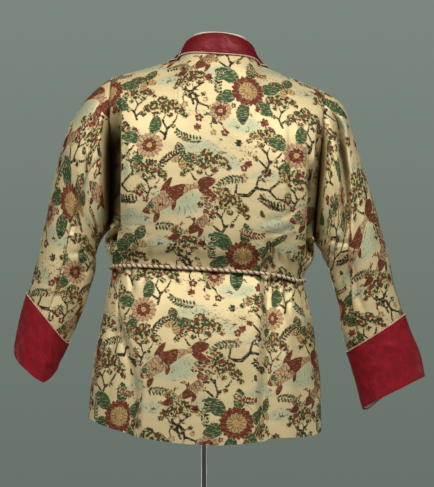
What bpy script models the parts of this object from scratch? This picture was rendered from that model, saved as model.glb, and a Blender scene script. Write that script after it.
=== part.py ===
"""Belted brocade lounging jacket with a satin shawl collar and turn-back cuffs, on a limbless dress form.

Metres, +Z up. The origin is the middle of the stand's underside and the jacket's front faces -Y,
so the wearer's left is +X. The cloth is laid out upright and square, and posture() then gives
every piece of the jacket the slight lean that the form stands with.
"""

from collections import namedtuple
import math

import bmesh
import bpy
import numpy as np

# Cloth and clearances
GAP = 0.0003  # between pieces that touch
CLOTH = 0.0020  # brocade with its lining
SATIN = 0.0018  # collar and cuff satin with its interlining
LIFT = 0.0010  # from a sleeve to the cuff laid on it
LAPEL_LIFT = 0.0017  # from a panel to the collar laid on it

# The lean of the jacket on the form
LEAN = -0.0385  # sideways, for each metre of height above the hem
TILT = 0.064  # rise for each metre towards the wearer's left
PITCH = 0.10  # rise for each metre towards the back

# The body's levels and girths
HEM_BACK = 0.679
HEM_SIDE = 0.720
HEM_FRONT = 0.714
HEM_FADE = 0.870  # the hem's curve has died out here
HEM_CURVE = 1.6  # exponent of the back hem's dip
WAIST = 1.018
ARMPIT = 1.095
ARMPIT_HALF = 0.203
SHOULDER = 1.395
SHOULDER_HALF = 0.212
ARMHOLE_DEPTH = 0.078  # half the armhole, front to back
NECK_HALF = 0.078
NECK_SIDE = 1.441
NECK_BACK = 1.460
NECK_BACK_DEPTH = 0.060
BLADES = 0.006  # fullness over the shoulder blades
FRONT_ARCH = 2.0  # exponents of the chest's and the back's curve up to the shoulder
BACK_ARCH = 1.35
ARCH_START = 0.2  # share of the half neck where the back's curve starts to change
SHOULDER_ROLL = 2.5
ARMHOLE_BLEND = 0.25  # share of the armhole over which its cut edge turns square
ROUNDNESS = 2.4  # exponent of the body's level sections
HALF_GIRTH = 0.62  # nominal, turns a share of the girth into metres
TURN_PROBE = 0.004  # small steps that find the cloth's direction
LEVEL_PROBE = 0.006

# left_ease is the extra half width on the wearer's left, where the cord draws the cloth in less
Section = namedtuple("Section", "height half_width left_ease back front steps")
BODY = (
    Section(HEM_SIDE, 0.232, 0.000, 0.150, 0.148, 1),
    Section(0.742, 0.231, 0.000, 0.151, 0.149, 2),
    Section(0.806, 0.228, 0.000, 0.150, 0.147, 2),
    Section(HEM_FADE, 0.219, 0.000, 0.146, 0.141, 2),
    Section(0.934, 0.207, 0.002, 0.135, 0.131, 1),
    Section(0.972, 0.197, 0.006, 0.122, 0.122, 1),
    Section(1.000, 0.188, 0.010, 0.111, 0.115, 1),
    Section(WAIST, 0.185, 0.011, 0.107, 0.112, 1),
    Section(1.036, 0.190, 0.011, 0.114, 0.117, 1),
    Section(1.054, 0.201, 0.009, 0.128, 0.126, 1),
    Section(1.074, 0.206, 0.006, 0.134, 0.131, 1),
    Section(ARMPIT, ARMPIT_HALF, 0.000, 0.136, 0.132, 0),
)
ARMHOLE_STEPS = 11
BACK_COLUMNS = 30
FRONT_COLUMNS = 14

# Folds of the body: where each starts and ends, as a share of the half girth from the centre back
Fold = namedtuple("Fold", "turn_top turn_foot top foot bend depth sharp soft")
BODY_FOLDS = (
    Fold(0.330, 0.155, 1.040, 0.700, 2.3, 0.009, 0.014, 0.080),
    Fold(-0.150, -0.157, 1.110, 0.940, 1.0, 0.010, 0.014, 0.060),
    Fold(-0.360, -0.330, 1.090, 0.900, 1.0, 0.006, 0.016, 0.050),
    Fold(0.640, 0.600, 1.100, 0.800, 1.0, 0.008, 0.016, 0.070),
    Fold(-0.660, -0.620, 1.100, 0.820, 1.0, 0.008, 0.016, 0.070),
)
FOLD_FADE = 0.060  # length over which a fold runs out

# Front edges: they cross above the waist and overlap below it
CROSSING = 1.130
OVERLAP = 0.030
UNDERLAP = 0.0026  # the right front lies this much lower under the left
UNDERLAP_EASE = 0.060
EDGE_CURVE = 1.05
EDGE_EASE = 0.050

# Sleeves: each row is a section by its outer and inner end, its depth and its place front to back
SleeveRow = namedtuple("SleeveRow", "outer_x outer_z inner_x inner_z half_depth forward back_drop")
LEFT_SLEEVE = (
    SleeveRow(SHOULDER_HALF, SHOULDER, ARMPIT_HALF, ARMPIT, ARMHOLE_DEPTH, 0.000, 0.000),
    SleeveRow(0.246, 1.366, 0.208, 1.090, 0.081, 0.001, 0.000),
    SleeveRow(0.274, 1.328, 0.213, 1.084, 0.082, 0.002, 0.000),
    SleeveRow(0.297, 1.282, 0.218, 1.077, 0.080, 0.004, 0.000),
    SleeveRow(0.309, 1.232, 0.223, 1.069, 0.077, 0.007, 0.000),
    SleeveRow(0.321, 1.180, 0.228, 1.058, 0.073, 0.010, 0.000),
    SleeveRow(0.332, 1.119, 0.231, 1.040, 0.069, 0.013, 0.000),
    SleeveRow(0.343, 1.054, 0.230, 1.013, 0.066, 0.016, 0.000),
    SleeveRow(0.354, 1.000, 0.240, 0.975, 0.064, 0.020, 0.000),
    SleeveRow(0.365, 0.955, 0.252, 0.935, 0.064, 0.025, 0.002),
    SleeveRow(0.376, 0.915, 0.268, 0.893, 0.065, 0.030, 0.008),
    SleeveRow(0.384, 0.870, 0.288, 0.850, 0.066, 0.036, 0.016),
    SleeveRow(0.388, 0.836, 0.304, 0.800, 0.066, 0.042, 0.028),
)
RIGHT_SLEEVE = (
    SleeveRow(SHOULDER_HALF, SHOULDER, ARMPIT_HALF, ARMPIT, ARMHOLE_DEPTH, 0.000, 0.000),
    SleeveRow(0.241, 1.379, 0.208, 1.090, 0.081, 0.001, 0.000),
    SleeveRow(0.261, 1.354, 0.212, 1.085, 0.083, 0.002, 0.000),
    SleeveRow(0.271, 1.318, 0.216, 1.079, 0.083, 0.003, 0.000),
    SleeveRow(0.284, 1.282, 0.220, 1.071, 0.081, 0.005, 0.000),
    SleeveRow(0.303, 1.230, 0.226, 1.060, 0.077, 0.007, 0.000),
    SleeveRow(0.322, 1.176, 0.234, 1.045, 0.073, 0.010, 0.000),
    SleeveRow(0.340, 1.120, 0.242, 1.024, 0.069, 0.013, 0.000),
    SleeveRow(0.357, 1.070, 0.251, 0.998, 0.064, 0.017, 0.000),
    SleeveRow(0.368, 1.024, 0.259, 0.972, 0.061, 0.021, 0.000),
    SleeveRow(0.384, 0.980, 0.265, 0.942, 0.059, 0.025, 0.000),
    SleeveRow(0.401, 0.936, 0.272, 0.907, 0.058, 0.030, 0.000),
    SleeveRow(0.424, 0.888, 0.290, 0.862, 0.058, 0.036, -0.001),
    SleeveRow(0.438, 0.840, 0.320, 0.780, 0.058, 0.042, -0.002),
)
SLEEVE_COLUMNS = 18
SLEEVE_STEPS = 20
STATION_PROBE = 0.05
ANGLE_PROBE = 0.03

# Sleeve folds: degrees round the sleeve from its outer line by way of the back, and rows along it
SleeveFold = namedtuple("SleeveFold", "angle_top angle_foot top foot depth spread")
LEFT_FOLDS = (
    SleeveFold(78, 88, 2.0, 7.5, 0.007, 20),
    SleeveFold(150, 110, 6.0, 9.0, 0.006, 22),
    SleeveFold(275, 265, 2.5, 7.0, 0.006, 22),
)
RIGHT_FOLDS = (
    SleeveFold(48, 76, 1.5, 7.5, 0.010, 20),
    SleeveFold(140, 100, 6.0, 9.5, 0.006, 22),
    SleeveFold(280, 265, 2.5, 7.0, 0.006, 22),
)

# Cuffs: the upper edge is slanted, higher on the outer side; its top stands away from the sleeve
Cuff = namedtuple("Cuff", "edge slant flare")
LEFT_CUFF = Cuff(9.85, 0.85, 0.001)
RIGHT_CUFF = Cuff(11.05, 0.62, 0.0015)
CUFF_STEPS = 4
FLARE_SWAY = 0.35  # a cuff stands off more on the outer side
CUFF_PAST_SLEEVE = 0.0025  # the cuff ends this much below the sleeve inside it
TRIM_RADIUS = 0.0015
TRIM_RESOLUTION = 1
TRIM_PROBE = 0.2
CUFF_TRIM_GAP = 0.0006
COLLAR_TRIM_GAP = 0.0015
COLLAR_TRIM_LIFT = 0.0006

# Collar
COLLAR_REACH = 0.094  # half width at the shoulder seam
COLLAR_FALL = 0.046  # share of the armhole height that the fall covers at the centre back
COLLAR_STAND = 0.026
STAND_IN_FRONT = 0.0032
COLLAR_LEAN = 0.38  # the stand leans in towards the neck at the sides
BACK_NECK_STEPS = 7
LAPEL_STEPS = 14
STAND_RUN = 0.45  # share of the lapel over which the stand dies out
LAPEL_ROLL = 3.0
ROLL_CURVE = 1.4
SHARE_PROBE = 0.01
Lapel = namedtuple("Lapel", "height width")
LAPELS = (
    Lapel(CROSSING, 0.006),
    Lapel(1.155, 0.030),
    Lapel(1.205, 0.056),
    Lapel(1.275, 0.068),
    Lapel(1.345, 0.062),
    Lapel(1.410, 0.040),
    Lapel(NECK_SIDE, COLLAR_REACH - NECK_HALF),
)

# Tie cord
CORD_RADIUS = 0.0035
CORD_CLEAR = 0.0008
CORD_POINTS = 46
CORD_SIDES = 2
KNOT = (0.013, 0.010, 0.012)
END_STEP = 0.018
END_SETTLE = 0.25  # how fast the hanging ends come to rest on the cloth
# the two ends hang from the knot: sideways place, drop below the knot's middle
LEFT_END = ((0.006, 0.0146), (0.010, 0.040), (0.019, 0.090), (0.024, 0.150), (0.022, 0.215))
RIGHT_END = ((-0.006, 0.0146), (-0.009, 0.040), (-0.014, 0.085), (-0.022, 0.140), (-0.026, 0.190))

# Dress form and stand
FormRing = namedtuple("FormRing", "height half_width back front roundness")
FORM = (
    FormRing(0.800, 0.140, 0.090, 0.090, 2.2),
    FormRing(0.815, 0.160, 0.108, 0.106, 2.2),
    FormRing(0.880, 0.166, 0.114, 0.108, 2.2),
    FormRing(0.950, 0.158, 0.100, 0.100, 2.2),
    FormRing(1.018, 0.150, 0.088, 0.092, 2.2),
    FormRing(1.090, 0.160, 0.104, 0.102, 2.2),
    FormRing(1.160, 0.172, 0.116, 0.110, 2.2),
    FormRing(1.250, 0.180, 0.120, 0.110, 2.1),
    FormRing(1.320, 0.187, 0.110, 0.098, 2.0),
    FormRing(1.365, 0.192, 0.096, 0.084, 1.9),
    FormRing(1.390, 0.192, 0.082, 0.072, 1.7),
    FormRing(1.401, 0.186, 0.076, 0.066, 1.6),
)
FORM_SHOULDER = (1.408, 1.417, 1.425, 1.431)  # heights where the form follows the jacket's shoulder seam
FORM_SHOULDER_DEPTH = (0.071, 0.067, 0.063, 0.059)
FORM_SHOULDER_FRONT = 0.008  # the shoulder is this much shallower in front
FORM_SHOULDER_ROUNDNESS = 1.55
FORM_CLEAR = 0.0009
NECK = (
    FormRing(1.443, 0.060, 0.055, 0.052, 2.0),
    FormRing(1.460, 0.057, 0.053, 0.050, 2.0),
    FormRing(1.483, 0.055, 0.052, 0.050, 2.0),
    FormRing(1.490, 0.053, 0.050, 0.048, 2.0),
    FormRing(1.4925, 0.045, 0.043, 0.041, 2.0),
)
FORM_COLUMNS = 28
FORM_POSTURE_FADE = 0.12
POLE_RADIUS = 0.00635
POLE_SIDES = 24
BASE_RADIUS = 0.200
BASE_THICK = 0.010
BASE_EDGE = 0.003
BOSS_RADIUS = 0.016
BOSS_TOP = 0.034
BASE_SIDES = 40

# Colours: red, green and blue, then roughness and metallic
GOLD_BROCADE = (0.52, 0.40, 0.20, 0.55, 0.0)
RED_SATIN = (0.19, 0.012, 0.022, 0.45, 0.0)
CREAM_CORD = (0.62, 0.50, 0.36, 0.75, 0.0)
FORM_JERSEY = (0.62, 0.55, 0.48, 0.85, 0.0)
STEEL = (0.55, 0.55, 0.56, 0.30, 1.0)


def start_collection(name):
    """An empty scene with one collection for the parts."""
    for old in list(bpy.data.objects):
        bpy.data.objects.remove(old)
    parts = bpy.data.collections.new(name)
    bpy.context.scene.collection.children.link(parts)
    return parts


PARTS = start_collection("brocade_jacket_on_dress_form")


def ease(value):
    """Smooth step from 0 to 1."""
    value = min(max(value, 0.0), 1.0)
    return value * value * (3.0 - 2.0 * value)


def unit(vector):
    return vector / np.linalg.norm(vector)


def between(rows, at):
    """Row of a table at a place in its first column, along a smooth curve through the rows."""
    table = np.array(rows, dtype=float)
    places = table[:, 0]
    slopes = np.gradient(table, places, axis=0)
    index = int(np.clip(np.searchsorted(places, at) - 1, 0, len(places) - 2))
    span = places[index + 1] - places[index]
    s = (at - places[index]) / span
    rise = table[index + 1] - table[index]
    return (
        table[index]
        + s * span * slopes[index]
        + s * s * (3.0 * rise - span * (2.0 * slopes[index] + slopes[index + 1]))
        + s * s * s * (span * (slopes[index] + slopes[index + 1]) - 2.0 * rise)
    )


def posture(point):
    """A point of the square, upright jacket where the leaning form holds it."""
    x, y, z = point
    return np.array((x + LEAN * (z - HEM_BACK), y, z + TILT * x + PITCH * y))


def material(name, colour):
    made = bpy.data.materials.new(name)
    made.use_nodes = True
    shader = made.node_tree.nodes["Principled BSDF"]
    shader.inputs["Base Color"].default_value = (*colour[:3], 1.0)
    shader.inputs["Roughness"].default_value = colour[3]
    shader.inputs["Metallic"].default_value = colour[4]
    return made


def add_part(name, data, colour):
    part = bpy.data.objects.new(name, data)
    data.materials.append(material(name, colour))
    PARTS.objects.link(part)
    return part


def add_mesh(name, bm, colour):
    bmesh.ops.recalc_face_normals(bm, faces=bm.faces)
    if bm.calc_volume(signed=True) < 0.0:
        bmesh.ops.reverse_faces(bm, faces=bm.faces)
    mesh = bpy.data.meshes.new(name)
    bm.to_mesh(mesh)
    bm.free()
    mesh.shade_smooth()
    return add_part(name, mesh, colour)


def add_cloth(name, columns, rows, place, colour, tube=False):
    """A wall of cloth from a grid: place(across, along) gives its outer and its inner point."""
    bm = bmesh.new()
    bmesh.ops.create_grid(bm, x_segments=columns, y_segments=rows, size=0.5)
    across = bm.verts.layers.float.new("across")
    along = bm.verts.layers.float.new("along")
    for vert in bm.verts:
        vert[across] = vert.co.x + 0.5
        vert[along] = vert.co.y + 0.5
    if tube:
        starts = {round(v[along] * rows): v for v in bm.verts if v[across] < 0.5 / columns}
        ends = [v for v in bm.verts if v[across] > 1.0 - 0.5 / columns]
        bmesh.ops.weld_verts(bm, targetmap={v: starts[round(v[along] * rows)] for v in ends})
    outside = list(bm.verts)
    grown = bmesh.ops.extrude_face_region(bm, geom=list(bm.faces), use_keep_orig=True)
    inside = [item for item in grown["geom"] if isinstance(item, bmesh.types.BMVert)]
    for verts, side in ((outside, 0), (inside, 1)):
        for vert in verts:
            vert.co = place(vert[across], vert[along])[side]
    return add_mesh(name, bm, colour)


def add_tube(name, points, radius, colour, closed=False, resolution=CORD_SIDES):
    """A round cord along a row of points."""
    curve = bpy.data.curves.new(name, "CURVE")
    curve.dimensions = "3D"
    curve.bevel_depth = radius
    curve.bevel_resolution = resolution
    curve.use_fill_caps = not closed
    spline = curve.splines.new("POLY")
    spline.points.add(len(points) - 1)
    for target, point in zip(spline.points, points):
        target.co = (*point, 1.0)
    spline.use_cyclic_u = closed
    return add_part(name, curve, colour)


def hem_height(turn):
    """Height of the lower edge: lowest at the centre back."""
    angle = math.pi * turn
    if turn <= 0.5:
        return HEM_SIDE - (HEM_SIDE - HEM_BACK) * max(math.cos(angle), 0.0) ** HEM_CURVE
    return HEM_SIDE - (HEM_SIDE - HEM_FRONT) * abs(math.cos(angle))


def shoulder_line(x, front):
    """Height of the shoulder seam and, inside the neck, of the back's neck edge."""
    x = abs(x)
    if x >= NECK_HALF:
        share = (x - NECK_HALF) / (SHOULDER_HALF - NECK_HALF)
        return NECK_SIDE + (SHOULDER - NECK_SIDE) * share
    if front:
        return NECK_SIDE
    return NECK_SIDE + (NECK_BACK - NECK_SIDE) * math.sqrt(1.0 - (x / NECK_HALF) ** 2)


def level_height(level):
    return HEM_SIDE + level * (ARMPIT - HEM_SIDE)


def height_level(height):
    return (height - HEM_SIDE) / (ARMPIT - HEM_SIDE)


def smooth_body(turn, level, front, left):
    """Outer point of half the unfolded body, as if on the +X side. Turn is 0 at the centre back,
    0.5 at the side and 1 at the centre front; level is 0 at the hem, 1 at the armpit, 2 at the shoulder."""
    angle = math.pi * turn
    sine, cosine = math.sin(angle), abs(math.cos(angle))
    share = math.copysign(abs(sine) ** (2.0 / ROUNDNESS), sine)
    swell = cosine ** (2.0 / ROUNDNESS)
    facing = -1.0 if front else 1.0
    if level <= 1.0:
        height = level_height(level)
        row = Section(*between(BODY, height))
        rise = (hem_height(turn) - HEM_SIDE) * (1.0 - ease((height - HEM_SIDE) / (HEM_FADE - HEM_SIDE)))
        depth = row.front if front else row.back
        y = max(depth * swell, 0.5 * GAP)
        half_width = row.half_width + (row.left_ease if left else 0.0)
        return np.array((half_width * share, facing * y, height + rise))
    up = min(level - 1.0, 1.0)
    edge_x = ARMPIT_HALF + (SHOULDER_HALF - ARMPIT_HALF) * up
    edge_y = ARMHOLE_DEPTH * math.sqrt(max(1.0 - (2.0 * up - 1.0) ** 2, 0.0))
    top_x = SHOULDER_HALF * share
    top_y = 0.0
    if not front and abs(top_x) < NECK_HALF:
        top_y = NECK_BACK_DEPTH * math.sqrt(1.0 - (top_x / NECK_HALF) ** 2)
    full = (BODY[-1].front if front else BODY[-1].back) + BLADES * math.sin(math.pi * up)
    arch = FRONT_ARCH
    if not front:
        arch = BACK_ARCH + (FRONT_ARCH - BACK_ARCH) * ease(abs(top_x) / NECK_HALF - ARCH_START)
    centre_y = top_y + (full - top_y) * max(1.0 - up**SHOULDER_ROLL, 0.0) ** (1.0 / arch)
    y = max(edge_y + (centre_y - edge_y) * swell, 0.5 * GAP)
    z = ARMPIT + up * (shoulder_line(top_x, front) - ARMPIT)
    return np.array((edge_x * share, facing * y, z))


def fold_depth(turn, height):
    """How far the folds sink the body's cloth; turn is negative on the wearer's right."""
    sunk = 0.0
    for fold in BODY_FOLDS:
        if fold.turn_top * turn <= 0.0 or not fold.foot < height < fold.top:
            continue
        share = (height - fold.foot) / (fold.top - fold.foot)
        line = fold.turn_foot + (fold.turn_top - fold.turn_foot) * share**fold.bend
        past = (abs(turn) - abs(line)) * HALF_GIRTH
        fade = ease((fold.top - height) / FOLD_FADE)
        if fold.foot > HEM_SIDE:
            fade *= ease((height - fold.foot) / FOLD_FADE)
        step = ease(past / fold.sharp + 0.5) * (1.0 - ease((past - fold.sharp) / fold.soft))
        sunk += fold.depth * fade * step
    return sunk


def body(turn, level, front, out=0.0, folded=True):
    """Point of the body and its outward direction, for a turn of either sign."""
    side = math.copysign(1.0, turn)
    at = abs(turn)
    low, high = (0.5, 1.2) if front else (-0.5, 0.5)
    t0, t1 = max(at - TURN_PROBE, low), min(at + TURN_PROBE, high)
    l0, l1 = max(level - LEVEL_PROBE, 0.0), min(level + LEVEL_PROBE, 2.0)
    if l0 < 1.0 < l1:
        l1 = 1.0
    left = turn > 0.0
    round_way = smooth_body(t1, level, front, left) - smooth_body(t0, level, front, left)
    upward = smooth_body(at, l1, front, left) - smooth_body(at, l0, front, left)
    normal = unit(np.cross(upward, round_way))
    point = smooth_body(at, level, front, left)
    if folded:
        out -= fold_depth(turn, level_height(level))
    point = point + normal * out
    mirror = np.array((side, 1.0, 1.0))
    return point * mirror, normal * mirror


def armhole_inward(up, front):
    """Direction in the armhole's plane from its edge to its middle."""
    y = math.sqrt(max(1.0 - (2.0 * up - 1.0) ** 2, 0.0)) / ARMHOLE_DEPTH
    z = (2.0 * up - 1.0) / (0.5 * (SHOULDER - ARMPIT))
    return -unit(np.array((0.0, -y if front else y, z)))


def body_wall(turn, level, front, out=0.0):
    """Outer and inner point of the body's cloth; sewn edges are cut square, in their seam's plane."""
    outer, normal = body(turn, level, front, out)
    inward = -normal
    at_side = abs(abs(turn) - 0.5) < 1e-6
    at_shoulder = level > 2.0 - 1e-6 and abs(outer[0]) > NECK_HALF - 1e-4
    if at_side and level > 1.0:
        share = ease((level - 1.0) / ARMHOLE_BLEND)
        inward = unit(inward * (1.0 - share) + armhole_inward(level - 1.0, front) * share)
    elif at_side or at_shoulder:
        inward = unit(inward * np.array((1.0, 0.0, 1.0)))
    return outer, outer + CLOTH * inward


def body_levels():
    """Levels of the body's rows of cloth, from the hem to the shoulder."""
    levels = []
    for lower, upper in zip(BODY, BODY[1:]):
        for step in range(lower.steps):
            height = lower.height + (upper.height - lower.height) * step / lower.steps
            levels.append(height_level(height))
    levels += [1.0 + math.sin(0.5 * math.pi * k / ARMHOLE_STEPS) for k in range(ARMHOLE_STEPS + 1)]
    return levels


LEVELS = body_levels()


def level_at(along):
    return LEVELS[round(along * (len(LEVELS) - 1))]


def make_back():
    def place(across, along):
        turn = across - 0.5
        return [posture(p) for p in body_wall(turn, level_at(along), False)]

    add_cloth("back", BACK_COLUMNS, len(LEVELS) - 1, place, GOLD_BROCADE)


def edge_x(height):
    """Sideways place of a front's edge; below the crossing it lies past the centre."""
    if height >= CROSSING:
        return NECK_HALF * ((height - CROSSING) / (NECK_SIDE - CROSSING)) ** EDGE_CURVE
    return -OVERLAP * ease((CROSSING - height) / EDGE_EASE)


def front_place(x, height, left=True):
    """Turn and level of a front at a height and a distance from the centre, positive on its own side."""
    if height <= ARMPIT:
        level = height_level(height)
        row = Section(*between(BODY, height))
        share = x / (row.half_width + (row.left_ease if left else 0.0))
    else:
        share = x / SHOULDER_HALF
        for _ in range(6):
            top = shoulder_line(SHOULDER_HALF * share, True)
            up = min((height - ARMPIT) / (top - ARMPIT), 1.0)
            share = x / (ARMPIT_HALF + (SHOULDER_HALF - ARMPIT_HALF) * up)
        level = 1.0 + up
    angle = math.asin(math.copysign(min(abs(share), 1.0) ** (0.5 * ROUNDNESS), share))
    return 1.0 - angle / math.pi, level


def front_height(level):
    """Height of a level at the front's edge."""
    return level_height(level) if level <= 1.0 else ARMPIT + (level - 1.0) * (NECK_SIDE - ARMPIT)


def make_front(name, side):
    left = side > 0

    def place(across, along):
        level = level_at(along)
        height = front_height(level)
        turn = 0.5 + across * (front_place(edge_x(height), height, left)[0] - 0.5)
        out = 0.0
        if not left:
            from_centre = smooth_body(turn, level, True, left)[0]
            under = ease(1.0 - (from_centre - OVERLAP) / UNDERLAP_EASE)
            out = -UNDERLAP * under * (1.0 - ease((height - CROSSING) / UNDERLAP_EASE))
        return [posture(p) for p in body_wall(side * turn, level, True, out)]

    add_cloth(name, FRONT_COLUMNS, len(LEVELS) - 1, place, GOLD_BROCADE)


def sleeve_row(rows, station):
    """Section of a sleeve at a station counted in rows."""
    return SleeveRow(*between([(index, *row) for index, row in enumerate(rows)], station)[1:])


def sleeve_fold(folds, angle, station):
    sunk = 0.0
    for fold in folds:
        if not fold.top < station < fold.foot:
            continue
        share = (station - fold.top) / (fold.foot - fold.top)
        line = fold.angle_top + (fold.angle_foot - fold.angle_top) * share
        off = (math.degrees(angle) - line) / fold.spread
        sunk += fold.depth * math.sin(math.pi * share) * math.exp(-off * off)
    return sunk


def smooth_sleeve(rows, folds, angle, station):
    """Outer point of a sleeve: angle 0 is its outer line, a quarter turn its back."""
    row = sleeve_row(rows, station)
    reach = 1.0 - sleeve_fold(folds, angle % (2.0 * math.pi), station) / row.half_depth
    along, back = 0.5 * math.cos(angle) * reach, math.sin(angle) * reach
    x = 0.5 * (row.outer_x + row.inner_x) + along * (row.outer_x - row.inner_x)
    z = 0.5 * (row.outer_z + row.inner_z) + along * (row.outer_z - row.inner_z)
    return np.array((x, row.half_depth * back - row.forward, z - row.back_drop * back))


def sleeve(rows, folds, angle, station, out=0.0):
    """Point of a sleeve at a distance outside its cloth, and the outward direction."""
    last = len(rows) - 1
    s0, s1 = max(station - STATION_PROBE, 0.0), min(station + STATION_PROBE, last)
    ahead = smooth_sleeve(rows, folds, angle + ANGLE_PROBE, station)
    round_way = ahead - smooth_sleeve(rows, folds, angle - ANGLE_PROBE, station)
    downward = smooth_sleeve(rows, folds, angle, s1) - smooth_sleeve(rows, folds, angle, s0)
    if station < 1e-6:
        downward = np.array((SHOULDER - ARMPIT, 0.0, ARMPIT_HALF - SHOULDER_HALF))
    normal = unit(np.cross(downward, round_way))
    return smooth_sleeve(rows, folds, angle, station) + normal * out, normal


def make_sleeve(name, side, rows, folds):
    mirror = np.array((side, 1.0, 1.0))
    from_armhole = np.array((GAP, 0.0, 0.0))

    def place(across, along):
        station = along * (len(rows) - 1)
        angle = 2.0 * math.pi * across
        outer, normal = sleeve(rows, folds, angle, station)
        walls = (outer, outer - CLOTH * normal)
        return [posture((p + from_armhole) * mirror) for p in walls]

    add_cloth(name, SLEEVE_COLUMNS, SLEEVE_STEPS, place, GOLD_BROCADE, tube=True)


def cuff_top(cuff, angle):
    """Station of a cuff's upper edge."""
    return cuff.edge - cuff.slant * math.cos(angle)


def cuff_out(cuff, angle, share):
    """How far a cuff stands off its sleeve, from its upper edge (share 0) to its lower edge."""
    return LIFT + cuff.flare * (1.0 - share) ** 2 * (1.0 - FLARE_SWAY + FLARE_SWAY * math.cos(angle))


def make_cuff(name, side, rows, folds, cuff):
    mirror = np.array((side, 1.0, 1.0))
    last = len(rows) - 1

    def place(across, along):
        angle = 2.0 * math.pi * across
        top = cuff_top(cuff, angle)
        out = cuff_out(cuff, angle, along)
        inner, normal = sleeve(rows, folds, angle, top + along * (last - top), out)
        past = np.array((0.0, 0.0, -CUFF_PAST_SLEEVE)) if along > 1.0 - 1e-6 else 0.0
        return [posture((p + past) * mirror) for p in (inner + SATIN * normal, inner)]

    add_cloth(name, SLEEVE_COLUMNS, CUFF_STEPS, place, RED_SATIN, tube=True)

    def trim(index):
        angle = 2.0 * math.pi * index / SLEEVE_COLUMNS
        top = cuff_top(cuff, angle)
        out = cuff_out(cuff, angle, 0.0) + 0.5 * SATIN
        edge, _ = sleeve(rows, folds, angle, top, out)
        above, _ = sleeve(rows, folds, angle, top - TRIM_PROBE, out)
        return posture((edge + unit(above - edge) * (TRIM_RADIUS + CUFF_TRIM_GAP)) * mirror)

    points = [trim(index) for index in range(SLEEVE_COLUMNS)]
    add_tube(name.replace("cuff", "cuff_cord"), points, TRIM_RADIUS, CREAM_CORD, True, TRIM_RESOLUTION)


def collar_row(share):
    """One section of the collar's half: sewn edge, roll and outer edge. Share 0 is the centre back."""
    back_part = BACK_NECK_STEPS / (BACK_NECK_STEPS + LAPEL_STEPS)
    if share <= back_part + 1e-9:
        angle = 0.5 * math.pi * share / back_part
        places = []
        for reach, drop in ((NECK_HALF, 0.0), (COLLAR_REACH, COLLAR_FALL)):
            part = (reach / SHOULDER_HALF * math.sin(angle)) ** (0.5 * ROUNDNESS)
            places.append((math.asin(part) / math.pi, 2.0 - drop * math.cos(angle) ** 2))
        lean_in = np.array((-COLLAR_LEAN * math.sin(angle), 0.0, 1.0))
        return False, places, COLLAR_STAND, unit(lean_in)
    down = (share - back_part) / (1.0 - back_part)
    height = CROSSING + (NECK_SIDE - CROSSING) * math.cos(0.5 * math.pi * down)
    width = between(LAPELS, height)[1]
    x = edge_x(height)
    places = [front_place(x, height), front_place(x + width, height)]
    low = ease(down / STAND_RUN)
    stand = COLLAR_STAND + (STAND_IN_FRONT - COLLAR_STAND) * low
    return True, places, stand, unit(np.array((-COLLAR_LEAN * (1.0 - low), -LAPEL_ROLL * low, 1.0 - low)))


COLLAR_SECTION = (0.0, 0.5, 1.0, 1.12, 1.35, 1.65, 2.0)  # 0 sewn edge, 1 roll, 2 outer edge


def collar_middle(share, station):
    """Point on the middle of the collar's satin, wearer's left side, and its panel's direction."""
    front, (edge, outer), stand, up = collar_row(share)
    over = max(station - 1.0, 0.0)
    turn = edge[0] + (outer[0] - edge[0]) * over
    level = edge[1] + (outer[1] - edge[1]) * over
    point, normal = body(turn, min(level, 2.0), front)
    lift = (LAPEL_LIFT + 0.5 * SATIN) * min(station, 1.0)
    rise = stand * station if station <= 1.0 else stand * (1.0 - over) ** ROLL_CURVE
    seat = (LAPEL_LIFT if front else GAP) * (1.0 - min(station, 1.0))
    return point + up * (rise + seat) + normal * lift, normal


def collar_point(share, station_index):
    """Middle point of the collar and the direction across its satin."""
    middle, _ = collar_middle(share, COLLAR_SECTION[station_index])
    before, _ = collar_middle(share, COLLAR_SECTION[max(station_index - 1, 0)])
    after, _ = collar_middle(share, COLLAR_SECTION[min(station_index + 1, len(COLLAR_SECTION) - 1)])
    nearer, _ = collar_middle(max(share - SHARE_PROBE, 0.0), COLLAR_SECTION[station_index])
    farther, _ = collar_middle(min(share + SHARE_PROBE, 1.0), COLLAR_SECTION[station_index])
    return middle, unit(np.cross(farther - nearer, after - before))


def collar_side(across):
    return abs(2.0 * across - 1.0), 1.0 if across >= 0.5 else -1.0


def make_collar():
    steps = 2 * (BACK_NECK_STEPS + LAPEL_STEPS)

    def place(across, along):
        share, side = collar_side(across)
        mirror = np.array((side, 1.0, 1.0))
        middle, normal = collar_point(share, round(along * (len(COLLAR_SECTION) - 1)))
        if share < 1e-6:
            normal = unit(normal * np.array((0.0, 1.0, 1.0)))
        half = 0.5 * SATIN
        return [posture(p * mirror) for p in (middle + half * normal, middle - half * normal)]

    add_cloth("collar", steps, len(COLLAR_SECTION) - 1, place, RED_SATIN)

    def trim(index):
        share, side = collar_side(index / steps)
        edge, normal = collar_middle(share, 2.0)
        inside, _ = collar_middle(share, 2.0 - TRIM_PROBE)
        outward = edge - inside
        outward = unit(outward - normal * np.dot(outward, normal))
        point = edge + outward * (TRIM_RADIUS + COLLAR_TRIM_GAP) + normal * COLLAR_TRIM_LIFT
        return posture(point * np.array((side, 1.0, 1.0)))

    points = [trim(index) for index in range(steps + 1)]
    add_tube("collar_cord", points, TRIM_RADIUS, CREAM_CORD, False, TRIM_RESOLUTION)


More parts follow.
